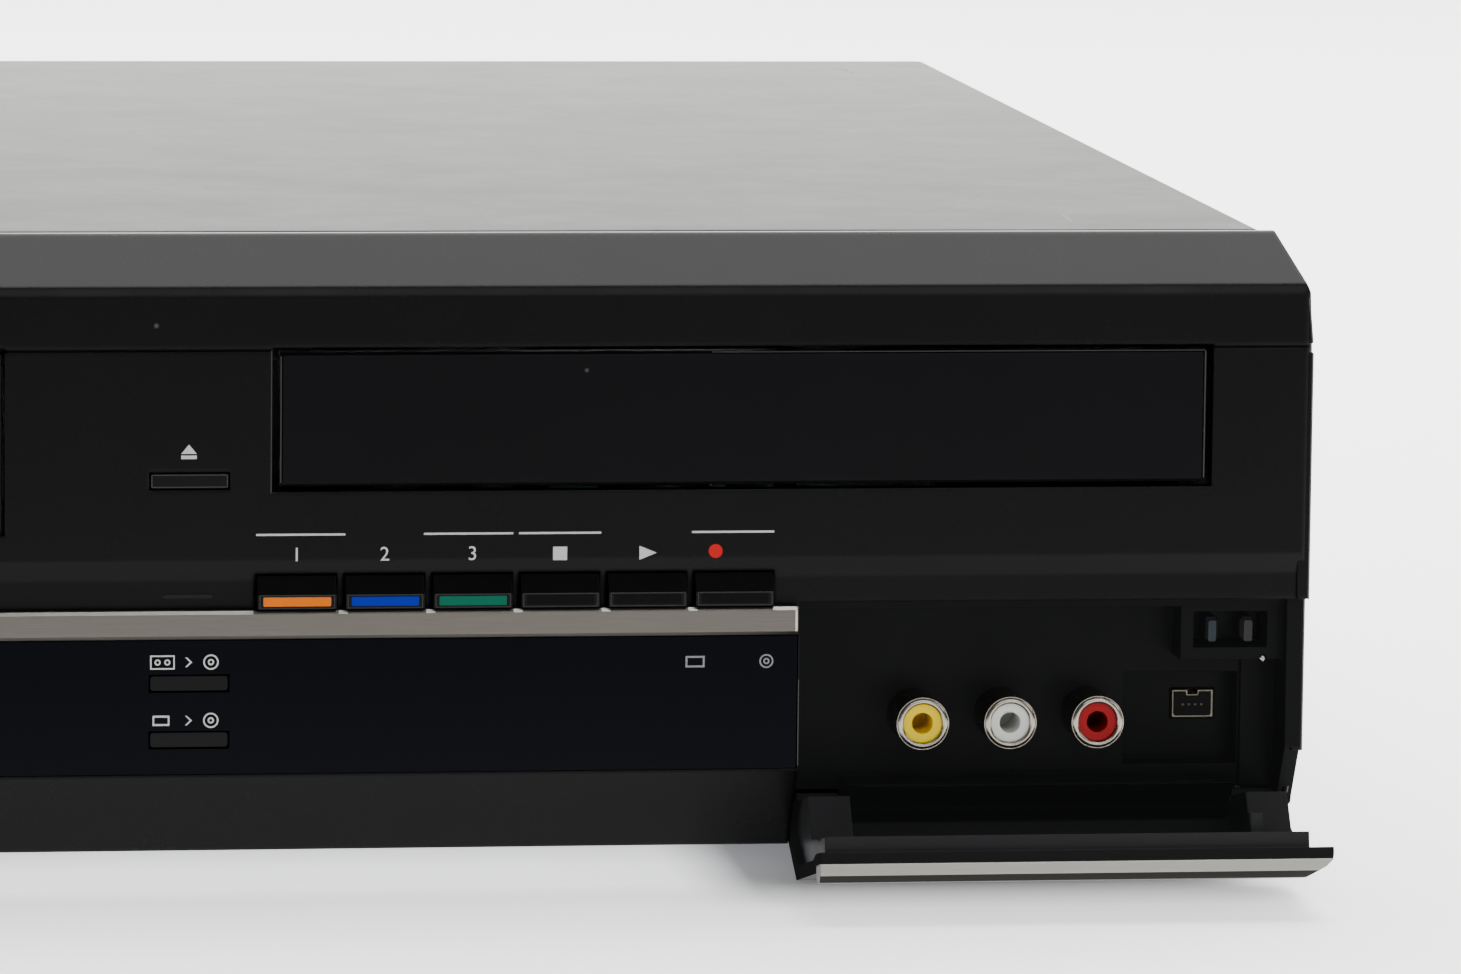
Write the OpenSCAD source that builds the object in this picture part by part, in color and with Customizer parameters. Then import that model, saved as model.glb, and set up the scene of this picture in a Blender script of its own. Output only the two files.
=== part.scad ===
// Combined disc, tape and hard disk player, with a drop-down flap over its front jacks.
// Millimetres. +Z is up, the front faces -Y, and the feet stand on z = 0 with the origin
// under the middle of the outline. Inside the modules, y = 0 is the plane of the front face.

/* [Case] */
// Width of the front panel
case_w = 430; // [424:1:450]
// How far the steel cover's sides are set in from the panel's ends
cover_inset = 5; // [4:0.1:6]
// Height from the table to the top of the cover
case_h = 104; // [102:0.5:120]
// Depth from the front face to the rear edge of the cover
case_d = 355; // [350:1:400]
// Height of the front panel's lower edge over the table
foot_h = 7.4; // [5:0.1:10]
// Diameter of a foot
foot_dia = 26; // [18:1:30]
// Thickness of the steel sheet
sheet_t = 0.8; // [0.6:0.1:1.2]
// Wall of the plastic mouldings
wall_t = 2.4; // [2:0.1:2.8]
// Gap between pieces that only meet
seat_gap = 0.3; // [0.2:0.05:0.4]

/* [Front panel] */
// Height of the slanted chin
chin_h = 13.4; // [11:0.1:15]
// How far the chin's lower edge is set back
chin_set = 10.4; // [8:0.1:11]
// Height of the upper face, from the brow to the top chamfer
face_h = 42.4; // [40:0.1:44]
// Thickness of the display window
window_t = 1.5; // [1:0.1:2]
// Height of the silver strip
strip_h = 4.4; // [3:0.1:6]
// How far the silver strip stands proud
strip_proud = 1.6; // [0.8:0.1:2.2]
// Height of the recess above the strip that holds the keys
key_row_h = 4.6; // [3.8:0.1:6]
// How far the key recess is set back
key_set = 0.9; // [0.4:0.1:1.2]
// Height of the sloping brow above the key recess
brow_h = 3; // [2:0.1:4]
// Height of the top chamfer
chamfer_h = 7.3; // [5:0.1:9]
// Depth of the top chamfer
chamfer_d = 10.3; // [8:0.1:11]
// Depth of the panel's side skirts
skirt_d = 13.7; // [13:0.1:16]
// Gap between the panel and the cover
cover_gap = 1.6; // [1:0.1:2]

/* [Disc drive] */
// Share of the spare width that lies right of the drive
drive_share = 0.15; // [0.1:0.01:0.3]
// Width of the tray lid
lid_w = 144.9; // [140:0.1:146]
// Height of the tray lid
lid_h = 20.8; // [19:0.1:22]
// Gap round the tray lid
lid_gap = 1.2; // [0.8:0.1:1.5]
// Thickness of the tray lid
lid_t = 3; // [2:0.1:4]
// Drop from the top chamfer to the lid
lid_drop = 10.5; // [9:0.1:12]
// Diameter of the discs
disc_dia = 120; // [118:0.5:122]
// How far the tray travels
tray_travel = 140; // [120:1:145]
// Teeth of the tray gear
tray_teeth = 20; // [16:1:24]
// Teeth of the small gear on the loading pulley
pulley_teeth = 12; // [10:1:14]
// Module of the loading gears
gear_module = 1; // [0.9:0.05:1.1]

/* [Tape deck] */
// Share of the spare width that lies left of the tape deck
deck_share = 0.283; // [0.2:0.001:0.35]
// Width of a cassette
cassette_w = 188; // [186:0.5:189]
// Height of a cassette
cassette_h = 25; // [24:0.1:26]
// Depth of a cassette
cassette_d = 102.5; // [100:0.5:104]
// How far the carrier draws a cassette in
draw_in = 34; // [30:0.5:36]
// How far the lift then lowers it
lower_by = 12.5; // [11:0.1:13]
// Diameter of the head drum
drum_dia = 62; // [56:0.5:64]
// Height of the fixed lower drum
drum_low_h = 20; // [18:0.5:22]
// Height of the spinning upper drum
drum_top_h = 17.6; // [15:0.1:18]
// Lean of the head drum, in degrees
drum_lean = 6; // [4:0.5:7]
// Distance between the two reels
reel_pitch = 92; // [88:0.5:94]

/* [Keys] */
// Width of a key in the row
key_w = 12.2; // [11:0.1:12.8]
// Spacing of the keys in the row
key_pitch = 13.64; // [13.3:0.01:13.8]
// Gap between the right row and the jack bay
row_gap = 2.86; // [2.5:0.01:4]
// Travel of every key
key_travel = 0.8; // [0.5:0.1:1]
// Gap round every key
key_gap = 0.25; // [0.2:0.05:0.35]
// Width of the small oblong keys
slim_w = 12; // [10:0.1:13]
// Height of the small oblong keys
slim_h = 2.3; // [2:0.1:3]

/* [Jack bay] */
// Width of the jack bay
bay_w = 80.8; // [78:0.1:81]
// Depth from the front face to the bay's back wall
bay_d = 14.2; // [14:0.1:16]
// Spacing of the three jacks
jack_pitch = 13.9; // [13:0.1:14]
// Distance from the bay's left edge to the first jack
jack_inset = 20.2; // [18:0.1:21]
// Height of the jacks over the bottom of the panel
jack_rise = 19.9; // [18:0.1:22]
// Outer diameter of a jack's shell
jack_dia = 8.3; // [8:0.1:8.6]
// Angle through which the flap opens
flap_angle = 77.5; // [60:0.5:80]
// Thickness of the flap
flap_t = 2.2; // [1.8:0.1:2.4]
// Width of a hinge arm
arm_w = 6.6; // [5:0.1:7]
// Radius of the hinge pins and small axles
pin_r = 1.5; // [1.2:0.1:1.6]
// Running clearance of the hinge pins, on the radius
pin_gap = 0.08; // [0.05:0.01:0.1]

/* [Cooling fan] */
// Side of the fan's square frame
fan_side = 50; // [40:1:60]
// Depth of the fan
fan_d = 15; // [10:1:20]

/* [Hidden] */
$fn = 48;
eps = 0.01;

// Heights of the front panel's zones; the window takes what the others leave
z_chin = foot_h;
z_window = z_chin + chin_h;
z_chamfer = case_h - chamfer_h;
z_face = z_chamfer - face_h;
z_brow = z_face - brow_h;
z_keys = z_brow - key_row_h;
z_strip = z_keys - strip_h;
window_h = z_strip - z_window;
seat_lip = 0.2;
chassis_z = foot_h + 0.6;
floor_z = chassis_z + sheet_t;

// Cover and inner outline
lip_y = chamfer_d + 2.5;
cover_y = lip_y + cover_gap;
cover_w = case_w - 2 * cover_inset;
inner_w = cover_w - 2 * sheet_t - 2 * seat_gap;
rear_y = case_d - 1;

// The two drives share out the width that they leave spare
deck_w = cassette_w + 16;
drive_w = lid_w + 2.1;
spare_w = inner_w - deck_w - drive_w;
deck_x = -inner_w / 2 + deck_share * spare_w + deck_w / 2;
drive_x = inner_w / 2 - drive_share * spare_w - drive_w / 2;

// Disc drive
lid_z = z_chamfer - lid_drop - lid_h + 0.4;
slot_w = lid_w + 2 * lid_gap;
slot_h = lid_h + 2 * lid_gap - 0.8;
slot_z = lid_z - lid_gap + 0.4;
drive_len = 190;
drive_z = lid_z - 9.8;
drive_y = skirt_d + seat_gap;
frame_t = 2.4;
tray_w = drive_w - 2 * frame_t - 2 * 0.6;
tray_z = lid_z + 4.2;
tray_h = 8;
tray_top = tray_z + tray_h;
tray_y = lid_t;
tray_len = 178;
pocket_r = disc_dia / 2 + 1.2;
spindle_y = tray_y + pocket_r + 10;
small_disc_r = 41;
bridge_z = lid_z + 18.2;
seat_z = tray_top + 0.3;
clamp_z = seat_z + 0.3;
traverse_w = 74;
sled_travel = 34;
traverse_z = drive_z + frame_t + 1.2;
rack_x = drive_x - tray_w / 2 + 8;
tooth_r = gear_module * tray_teeth / 2;
tray_gear_x = rack_x + tooth_r;
tray_gear_y = drive_y + 14;
pulley_x = tray_gear_x + gear_module * (tray_teeth + pulley_teeth) / 2 + 0.1;
rack_pitch = PI * gear_module;
// Share of a tooth by which the tray gear is out of step at its far side
far_step = tray_teeth / 2 - floor(tray_teeth / 2);
gear_z = tray_z - 3.6;

// Tape deck
deck_t = 1.5;
deck_y = drive_y + 8;
deck_len = 224;
door_w = cassette_w + 8;
door_gap = 0.6;
door_top = slot_z + slot_h;
door_h = cassette_h + 3.4;
door_hinge_y = 3;
door_hinge_z = door_top - door_gap - 1.3;
carrier_w = cassette_w + 3;
carrier_t = 1.2;
carrier_z = door_top - door_h - 0.2;
carrier_h = cassette_h + 3.2;
carrier_y = 34;
lift_t = 1.4;
// Gap that the lowered carrier keeps over the deck
low_gap = 7.4;
deck_z = carrier_z - lower_by - low_gap - deck_t;
runner_ys = [carrier_y + 20, carrier_y + cassette_d - 14.5];
reel_y = carrier_y + draw_in + cassette_d / 2 - 4;
drum_y = carrier_y + draw_in + cassette_d + 8 + drum_dia / 2;
drum_z = deck_z + deck_t;
capstan_x = deck_x + reel_pitch / 2 + 12;
capstan_y = drum_y - 22;
capstan_h = 34;
flywheel_r = 24;
flywheel_h = 7;
post_h = 30;
reel_r = 19;
hub_r = 7;
hub_h = 16.5;

// Jack bay and flap
bay_x = case_w / 2 - bay_w;
bay_top = z_keys + seat_gap;
jack_z = foot_h + jack_rise;
jack_x = bay_x + jack_inset;
hinge_y = chin_set + 1.8;
hinge_z = foot_h + 5.8;
flap_x = bay_x + seat_gap;
arm_x0 = flap_x + 1.2;
arm_x1 = case_w / 2 - 3.2 - arm_w;
bay_floor_z = hinge_z + 2.2;
web_t = 1;
chin_len = sqrt(chin_h * chin_h + chin_set * chin_set);
chin_run = chin_set / chin_h;
flap_slant = flap_t * chin_len / chin_h;
bend_in = flap_t * (chin_len - chin_set) / chin_h;
cheek_x = case_w / 2 - 2.9;
latch_w = 11.8;
latch_x = cheek_x - latch_w - 2.5;
latch_z = z_keys - 8.1;
latch_h = 5.7;

// Final place of the origin: the middle of the outline at rest
trim_edge = 1;
flap_low = [trim_edge - strip_proud - hinge_y, z_keys - 0.2 - hinge_z];
flap_front = hinge_y + flap_low[0] * cos(flap_angle) - flap_low[1] * sin(flap_angle);
jack_reach = 8;
rear_end = rear_y + jack_reach;
y_shift = -(flap_front + rear_end) / 2;

// Colours
black = [0.07, 0.07, 0.075];
dark = [0.14, 0.14, 0.15];
window_blue = [0.03, 0.04, 0.08];
silver = [0.62, 0.61, 0.58];
steel = [0.7, 0.71, 0.72];
cover_grey = [0.66, 0.67, 0.64];
board_green = [0.1, 0.3, 0.16];
white_plastic = [0.86, 0.86, 0.84];
ivory = [0.75, 0.73, 0.68];

// ---------- helpers ----------

// Moves the front-face frame to the part's own frame.
module placed() translate([0, y_shift, 0]) children();

// A (y, z) outline drawn out along X from x0 to x1.
module along_x(x0, x1) translate([x0, 0, 0]) rotate([90, 0, 90]) linear_extrude(x1 - x0) children();

// An (x, z) outline drawn out along Y from y0 to y1.
module along_y(y0, y1) translate([0, y1, 0]) rotate([90, 0, 0]) linear_extrude(y1 - y0) children();

// A box between two corners.
module block(low, high) translate(low) cube(high - low);

// A rectangle with round corners, from its lower corner.
module round_rect(size, r) {
  translate([r, 0]) square([size[0] - 2 * r, size[1]]);
  translate([0, r]) square([size[0], size[1] - 2 * r]);
  for (x = [r, size[0] - r]) for (y = [r, size[1] - r]) translate([x, y]) circle(r);
}

// A slot with round ends, standing on its lower corner.
module slot_outline(size) {
  r = size[0] / 2;
  translate([0, r]) square([size[0], size[1] - size[0]]);
  for (y = [r, size[1] - r]) translate([r, y]) circle(r);
}

// A rod along X.
module rod_x(x0, x1, y, z, r) translate([x0, y, z]) rotate([0, 90, 0]) cylinder(x1 - x0, r, r);

// A rod along Y.
module rod_y(x, z, y0, y1, r) translate([x, y1, z]) rotate([90, 0, 0]) cylinder(y1 - y0, r, r);

// A rod along Z.
module rod_z(x, y, z0, z1, r) translate([x, y, z0]) cylinder(z1 - z0, r, r);

// A spur gear's outline, with straight flanks.
module gear_outline(teeth, m) {
  pitch_r = teeth * m / 2;
  step = 360 / teeth;
  polygon([for (i = [0 : teeth - 1]) for (p = [
    [pitch_r - 1.2 * m, -0.30], [pitch_r - 0.05 * m, -0.21],
    [pitch_r + 0.85 * m, -0.09], [pitch_r + 0.85 * m, 0.09],
    [pitch_r - 0.05 * m, 0.21], [pitch_r - 1.2 * m, 0.30]])
    [p[0] * cos((i + p[1]) * step), p[0] * sin((i + p[1]) * step)]]);
}

// ---------- case ----------

module cover_outline(grow) {
  w = cover_w - 2 * grow;
  translate([-w / 2, 0]) round_rect([w, case_h - grow], 2.5);
}

module top_cover() color(cover_grey) placed() {
  difference() {
    along_y(cover_y, case_d) intersection() {
      difference() {
        cover_outline(0);
        cover_outline(sheet_t);
      }
      translate([-cover_w, foot_h + 2]) square([2 * cover_w, case_h]);
    }
    for (side = [-1, 1]) for (i = [0 : 13])
      translate([side * cover_w / 2 - 3, case_d - 60 - 9 * i, 30]) cube([6, 3, 34]);
  }
  // turned-down rear flange
  block([-cover_w / 2 + 3, case_d - sheet_t, case_h - 6], [cover_w / 2 - 3, case_d, case_h - sheet_t / 2]);
}

tab_w = 12;
board_tab_x = inner_w / 2 - 58.9;
foot_x = cover_w / 2 - 32;
foot_ys = [46, case_d - 44];
slot_step = 12;

module bottom_chassis() color(steel) placed() difference() {
  union() {
    block([-inner_w / 2, drive_y, chassis_z], [inner_w / 2, rear_y - sheet_t, floor_z]);
    for (side = [-1, 1]) translate([side * (inner_w / 2 - sheet_t / 2), 0, 0])
      block([-sheet_t / 2, drive_y + 2, chassis_z], [sheet_t / 2, rear_y - sheet_t, chassis_z + 16]);
    block([-inner_w / 2, drive_y, chassis_z], [bay_x - 2, drive_y + sheet_t, chassis_z + 4]);
    // legs under the disc drive, with a flange on top
    for (x = [drive_x - drive_w / 2 + 1, drive_x + drive_w / 2 - tab_w - 1])
      for (y = [drive_y + 26, drive_y + drive_len - 30]) {
        block([x, y, floor_z - eps], [x + tab_w, y + sheet_t, drive_z]);
        block([x, y, drive_z - sheet_t], [x + tab_w, y + 9, drive_z]);
      }
    // legs under the tape deck
    for (x = [deck_x - deck_w / 2 + 4, deck_x + deck_w / 2 - tab_w - 4])
      for (y = [deck_y + 6, deck_y + deck_len - 16]) {
        block([x, y, floor_z - eps], [x + tab_w, y + sheet_t, deck_z]);
        block([x, y, deck_z - sheet_t], [x + tab_w, y + 9, deck_z]);
      }
    // tabs that carry the front board
    for (x = [-board_tab_x, -board_tab_x / 2, board_tab_x / 2])
      block([x, board_y + board_t, floor_z - eps], [x + tab_w, board_y + board_t + sheet_t, chassis_z + 20]);
    // pressed standoffs under the boards and the hard disk
    for (p = standoffs) rod_z(p[0], p[1], floor_z - eps, p[2], 3);
  }
  for (x = [-foot_x, foot_x]) for (y = foot_ys) rod_z(x, y, chassis_z - 1, floor_z + 1, 1.6);
  // notch that the flap's lower edge swings into
  block([bay_x - 1.5, 0, 0], [inner_w / 2 - 1, hinge_y + 6.6, floor_z + 1]);
  // rows of cooling slots
  for (i = [0 : 9]) for (j = [0 : 2])
    translate([main_x0 + 38 + slot_step * i, main_y0 + 4 + 30 * j, chassis_z - 1]) linear_extrude(4)
      slot_outline([4, 22]);
}

module feet() color(dark) placed()
  for (x = [-foot_x, foot_x]) for (y = foot_ys) translate([x, y, 0]) difference() {
    rotate_extrude() polygon([[0, 1], [foot_dia / 2 - 4, 1], [foot_dia / 2 - 3, 0], [foot_dia / 2 - 0.8, 0],
      [foot_dia / 2, 0.8], [foot_dia / 2 - 1.2, chassis_z], [0, chassis_z]]);
    rod_z(0, 0, -1, 4, 3.2);
    rod_z(0, 0, -1, chassis_z + 1, 1.6);
  }

// ---------- front panel ----------

panel_outer = [
  [chin_set, z_chin], [0, z_window], [0, z_strip], [key_set, z_strip],
  [key_set, z_brow], [0, z_face], [0, z_chamfer - 1.4], [0.5, z_chamfer],
  [chamfer_d, case_h - 0.4], [chamfer_d + 0.6, case_h], [lip_y, case_h]];

panel_inner = [
  [lip_y, case_h - wall_t], [chamfer_d + 0.4, case_h - wall_t - 0.2],
  [wall_t + 0.9, z_chamfer - 0.9], [wall_t, z_chamfer - 2.4], [key_set + wall_t, z_face],
  [key_set + wall_t, z_window + 1.5], [chin_set + 0.9, z_chin + wall_t],
  [skirt_d, z_chin + wall_t], [skirt_d, z_chin]];

module panel_side() polygon(concat(panel_outer, [
  [lip_y, z_chamfer], [skirt_d, z_chamfer - 2], [skirt_d, z_chin]]));

module panel_plan() {
  translate([-case_w / 2, 0]) intersection() {
    round_rect([case_w, 40], 2);
    square([case_w, skirt_d]);
  }
}

module panel_front() polygon([
  [-case_w / 2 + 1, 0], [case_w / 2 - 1, 0], [case_w / 2, z_window], [case_w / 2, z_face + 30],
  [case_w / 2 - 0.6, z_chamfer - 1.4], [case_w / 2 - 4.5, case_h], [-case_w / 2 + 4.5, case_h],
  [-case_w / 2 + 0.6, z_chamfer - 1.4], [-case_w / 2, z_face + 30], [-case_w / 2, z_window]]);

module key_hole(x) block([x - key_gap, -1, z_keys], [x + key_w + key_gap, wall_t + 3, z_brow + 0.9]);

module slim_hole(x, z) block([x - key_gap, -1, z - key_gap],
  [x + slim_w + key_gap, wall_t + 3, z + slim_h + key_gap]);

// The slim keys stand in the spare width beside the cassette door
door_x0 = deck_x - door_w / 2 - door_gap;
door_x1 = deck_x + door_w / 2 + door_gap;
slot_x0 = drive_x - slot_w / 2;
slim_x = door_x1 + 0.77 * (slot_x0 - door_x1 - slim_w);
left_x = -case_w / 2 + 0.55 * (door_x0 + case_w / 2 - slim_w);
eject_z = lid_z - 0.2;
dub_zs = [z_window + 0.62 * window_h, z_window + 0.21 * window_h];
power_z = eject_z + 12;
power_r = 4.6;
key_x = bay_x - row_gap - 6 * key_pitch;
tape_key_x = deck_x - 2 * key_pitch + (key_pitch - key_w) / 2;

module front_panel() color(black) placed() difference() {
  intersection() {
    union() {
      along_x(-case_w / 2, case_w / 2) polygon(concat(panel_outer, panel_inner));
      for (x = [-case_w / 2, bay_x - wall_t, case_w / 2 - wall_t])
        along_x(x, x + wall_t) panel_side();
      // bosses that take the cassette door's hinge pins
      for (side = [-1, 1]) translate([deck_x + side * (door_w / 2 + door_gap + 1.5), 0, door_hinge_z])
        block([-1.5, wall_t - 1, -3], [1.5, door_hinge_y + 2.8, 3]);
      // rail that stiffens the key row, between the keys and the window
      block([-case_w / 2 + 2, wall_t, z_strip - 2], [bay_x - 2, wall_t + 3, z_keys - 0.6]);
    }
    linear_extrude(case_h + 1) panel_plan();
    along_y(-1, 40) panel_front();
  }
  // jack bay and the flap in front of it
  block([bay_x, -5, -1], [case_w, 40, bay_top]);
  // window seat
  block([-case_w / 2 + 1.2, -1, z_window + seat_lip], [bay_x - 0.2, window_t, z_strip - seat_lip]);
  // tray slot, cassette slot and parting line
  block([slot_x0, -1, slot_z], [slot_x0 + slot_w, 30, slot_z + slot_h]);
  block([door_x0, -1, door_top - door_h - door_gap], [door_x1, 30, door_top]);
  block([-case_w, -1, door_top - 0.65], [case_w, 0.5, door_top - 0.25]);
  for (i = [0 : 5]) key_hole(key_x + i * key_pitch);
  for (i = [0 : 3]) key_hole(tape_key_x + i * key_pitch);
  for (x = [slim_x, left_x]) slim_hole(x, eject_z);
  for (z = dub_zs) slim_hole(slim_x, z);
  rod_y(left_x + slim_w / 2, power_z, -1, 20, power_r + key_gap);
  // seats for the door's hinge pins
  rod_x(deck_x - door_w / 2 - 3, deck_x + door_w / 2 + 3, door_hinge_y, door_hinge_z, 1.2 + pin_gap);
}

module accent_strip() color(silver) placed() intersection() {
  along_x(-case_w / 2 + 0.8, bay_x - 0.3) polygon([
    [key_set, z_strip], [-strip_proud + 0.6, z_strip], [-strip_proud, z_strip + 0.6],
    [-strip_proud, z_keys - 0.5], [-strip_proud + 0.5, z_keys], [key_set, z_keys]]);
  translate([-case_w / 2 + 0.8, -strip_proud, 0]) linear_extrude(case_h)
    round_rect([case_w / 2 + bay_x - 1.1, 20], 0.6);
}

module display_window() color(window_blue) placed() difference() {
  block([-case_w / 2 + 1.4, 0, z_window + seat_lip + 0.1],
    [bay_x - seat_gap - 0.1, window_t, z_strip - seat_lip - 0.1]);
  for (z = dub_zs) slim_hole(slim_x, z);
}

module cassette_door() color(black) placed() {
  top = door_top - door_gap;
  difference() {
    union() {
      along_x(deck_x - door_w / 2, deck_x + door_w / 2) {
        polygon([[0, door_top - door_h], [wall_t - 0.4, door_top - door_h], [wall_t - 0.4, top - 3],
          [door_hinge_y, door_hinge_z - 1.3], [door_hinge_y, top], [0.4, top], [0, top - 0.4]]);
        translate([door_hinge_y, door_hinge_z]) circle(1.3);
      }
      // stiffening ribs behind the door
      for (i = [-2 : 2]) translate([deck_x + i * door_w / 5.6, 0, 0]) along_x(-0.6, 0.6)
        polygon([[1, door_top - door_h + 2], [3.4, door_top - door_h + 5], [3.4, top - 6], [1, top - 3]]);
    }
    block([deck_x - door_w / 2 - 1, -0.5, door_top - 0.65], [deck_x + door_w / 2 + 1, 0.3, door_top + 1]);
  }
  for (side = [-1, 1]) translate([deck_x + side * (door_w / 2 + 0.8), 0, 0])
    rod_x(-1.2, 1.2, door_hinge_y, door_hinge_z, 1.2);
}

// ---------- keys ----------

board_y = skirt_d + 3.4;
switch_y = board_y - 3.2;
stem_end = switch_y - seat_gap - key_travel;

// A key of the row: a sloping cap, a flange behind the panel and a stem to its switch.
module row_key(x) {
  along_x(x, x + key_w) polygon([
    [-strip_proud + 0.2, z_keys + 0.2], [-strip_proud + 0.2, z_keys + 2.4], [0.5, z_brow + 0.6],
    [stem_end - 4, z_brow + 0.6], [stem_end - 4, z_keys + 0.2]]);
  block([x - 0.5, key_set + wall_t + 0.4, z_keys + 0.2],
    [x + key_w + 0.5, key_set + wall_t + 1.6, z_brow + 1.2]);
  block([x + 2, stem_end - 4 - eps, z_keys + 0.6], [x + key_w - 2, stem_end - 1.2, z_brow - 0.6]);
  rod_y(x + key_w / 2, (z_keys + z_brow) / 2, stem_end - 1.3, stem_end, 1.4);
}

// A small oblong key, flush with the face.
module slim_key(x, z) {
  along_y(0.2, stem_end - 1.2) translate([x, z]) round_rect([slim_w, slim_h], 0.5);
  block([x - 0.6, wall_t + 2, z - 0.6], [x + slim_w + 0.6, wall_t + 3, z + slim_h + 0.6]);
  rod_y(x + slim_w / 2, z + slim_h / 2, stem_end - 1.3, stem_end, 1.1);
}

module tape_key(i) color(black) placed() row_key(tape_key_x + i * key_pitch);
module disc_key(i) color(black) placed() row_key(key_x + i * key_pitch);

module power_button() color(dark) placed() {
  rod_y(left_x + slim_w / 2, power_z, -0.8, stem_end - 1.2, power_r);
  rod_y(left_x + slim_w / 2, power_z, wall_t + 2, wall_t + 3, power_r + 0.8);
  rod_y(left_x + slim_w / 2, power_z, stem_end - 1.3, stem_end, 1.4);
}

module tape_eject_button() color(dark) placed() slim_key(left_x, eject_z);
module disc_eject_button() color(dark) placed() slim_key(slim_x, eject_z);
module select_button_1() disc_key(0);
module select_button_2() disc_key(1);
module select_button_3() disc_key(2);
module stop_button() disc_key(3);
module play_button() disc_key(4);
module record_button() disc_key(5);
module dub_button_1() color(dark) placed() slim_key(slim_x, dub_zs[0]);
module dub_button_2() color(dark) placed() slim_key(slim_x, dub_zs[1]);
module tape_rewind_button() tape_key(0);
module tape_stop_button() tape_key(1);
module tape_play_button() tape_key(2);
module tape_forward_button() tape_key(3);

// ---------- jack bay ----------

bay_x1 = inner_w / 2 - sheet_t - seat_gap;
ear_x0 = arm_x0 + arm_w + seat_gap + 0.4;
ear_x1 = arm_x1 - seat_gap - 0.4;
pocket_x0 = jack_x + 2 * jack_pitch + jack_dia / 2 + 1.8;
pocket_x1 = bay_x1 - 1.4;
pocket_z0 = bay_floor_z + 3.5;
pocket_z1 = latch_z - 5;
pocket_d = 5.8;
dv_x = pocket_x0 + 0.665 * (pocket_x1 - pocket_x0);
dv_y = bay_d + pocket_d - 0.6;
dv_z = pocket_z0 + 0.6 * (pocket_z1 - pocket_z0);

module bay_floor() {
  polygon([
    [hinge_y - 6.2, bay_floor_z + 2], [hinge_y - 4.6, bay_floor_z], [hinge_y - 2.4, hinge_z],
    [hinge_y + 2.4, hinge_z], [bay_d + 2, bay_floor_z], [bay_d + 2, bay_floor_z + 2]]);
  translate([hinge_y, hinge_z]) circle(2.4);
}

module jack_bezel() color(dark) placed() difference() {
  union() {
    // back wall, ceiling and floor
    block([bay_x + seat_gap, bay_d, bay_floor_z], [bay_x1, bay_d + 2, bay_top - seat_gap]);
    block([bay_x + seat_gap, 6.1, z_keys - 1.5], [bay_x1, bay_d + 1, z_keys]);
    block([bay_x1 - eps, 6.1, z_keys - 1.5], [cheek_x, bay_d - 0.1, z_keys]);
    // web that carries the right cheek, in front of the cover's edge
    block([bay_x1 - 1, bay_d - web_t, hinge_z + 2.3], [cheek_x + eps, bay_d - 0.1, z_keys]);
    // return of the cheek, behind the hinge and outside the cover
    block([cover_w / 2 + seat_gap, bay_d + seat_gap - 0.1, hinge_z - 0.4],
      [cheek_x + eps, bay_d + 2, hinge_z + 4]);
    along_x(ear_x0, ear_x1) bay_floor();
    // right cheek, round at its lower tip
    along_x(cheek_x, cheek_x + 2.4) {
      polygon([[flap_t + 1.2, z_keys], [flap_t + 1.2, z_window + 2.4], [hinge_y - 2.6, hinge_z + 0.8],
        [hinge_y - 1.2, hinge_z - 0.4], [bay_d + 2, hinge_z - 0.4], [bay_d + 2, z_keys]]);
      translate([hinge_y - 1.2, hinge_z + 1.2]) circle(1.6);
    }
    // deep pocket round the digital socket
    block([pocket_x0 - 1.2, bay_d + 1, pocket_z0 - 1.6],
      [pocket_x1 + 1.4, bay_d + pocket_d + 1.6, pocket_z1 + 1.6]);
    // latch housing
    block([latch_x - 2, 6.6, latch_z - 2], [bay_x1 - eps, bay_d + 1, z_keys]);
    block([bay_x1 - 1, 6.6, latch_z - 2], [cheek_x, bay_d - 0.1, z_keys]);
  }
  block([pocket_x0, bay_d - 1, pocket_z0], [pocket_x1, bay_d + pocket_d, pocket_z1]);
  block([latch_x, 0, latch_z], [latch_x + latch_w, bay_d, latch_z + latch_h]);
  for (i = [0 : 2]) rod_y(jack_x + i * jack_pitch, jack_z, 0, 40, neck_r + 0.1);
  block([dv_x - 3.6, 0, dv_z - 2.5], [dv_x + 3.6, 40, dv_z + 2.5]);
  rod_x(ear_x0 - 1, ear_x0 + 6, hinge_y, hinge_z, pin_r + pin_gap);
  rod_x(ear_x1 - 6, ear_x1 + 1, hinge_y, hinge_z, pin_r + pin_gap);
}

jack_y = 3.6;
neck_r = jack_dia / 2 - 0.35;
pin_hole_r = 1.65;
module at_jacks() for (i = [0 : 2]) translate([jack_x + i * jack_pitch, 0, jack_z]) children();

module rca_shells() color(steel) placed() at_jacks() difference() {
  union() {
    // barrel that stands on the bay's back wall, and a neck through it
    rod_y(0, 0, jack_y, bay_d, jack_dia / 2);
    rod_y(0, 0, bay_d - eps, bay_d + 6, neck_r);
    rod_y(0, 0, bay_d + 2, bay_d + 4, jack_dia / 2 + 0.4);
  }
  rod_y(0, 0, jack_y - 1, bay_d - 1, jack_dia / 2 - 0.5);
  // rolled mouth
  translate([0, jack_y, 0]) rotate([-90, 0, 0]) translate([0, 0, -eps])
    cylinder(0.5, jack_dia / 2 - 0.1, jack_dia / 2 - 0.5);
}

module rca_insert(i) placed() translate([jack_x + i * jack_pitch, 0, jack_z]) difference() {
  rod_y(0, 0, jack_y + 0.5, bay_d - 1, jack_dia / 2 - 0.55);
  rod_y(0, 0, jack_y - 1, bay_d - 2, pin_hole_r);
}

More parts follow.
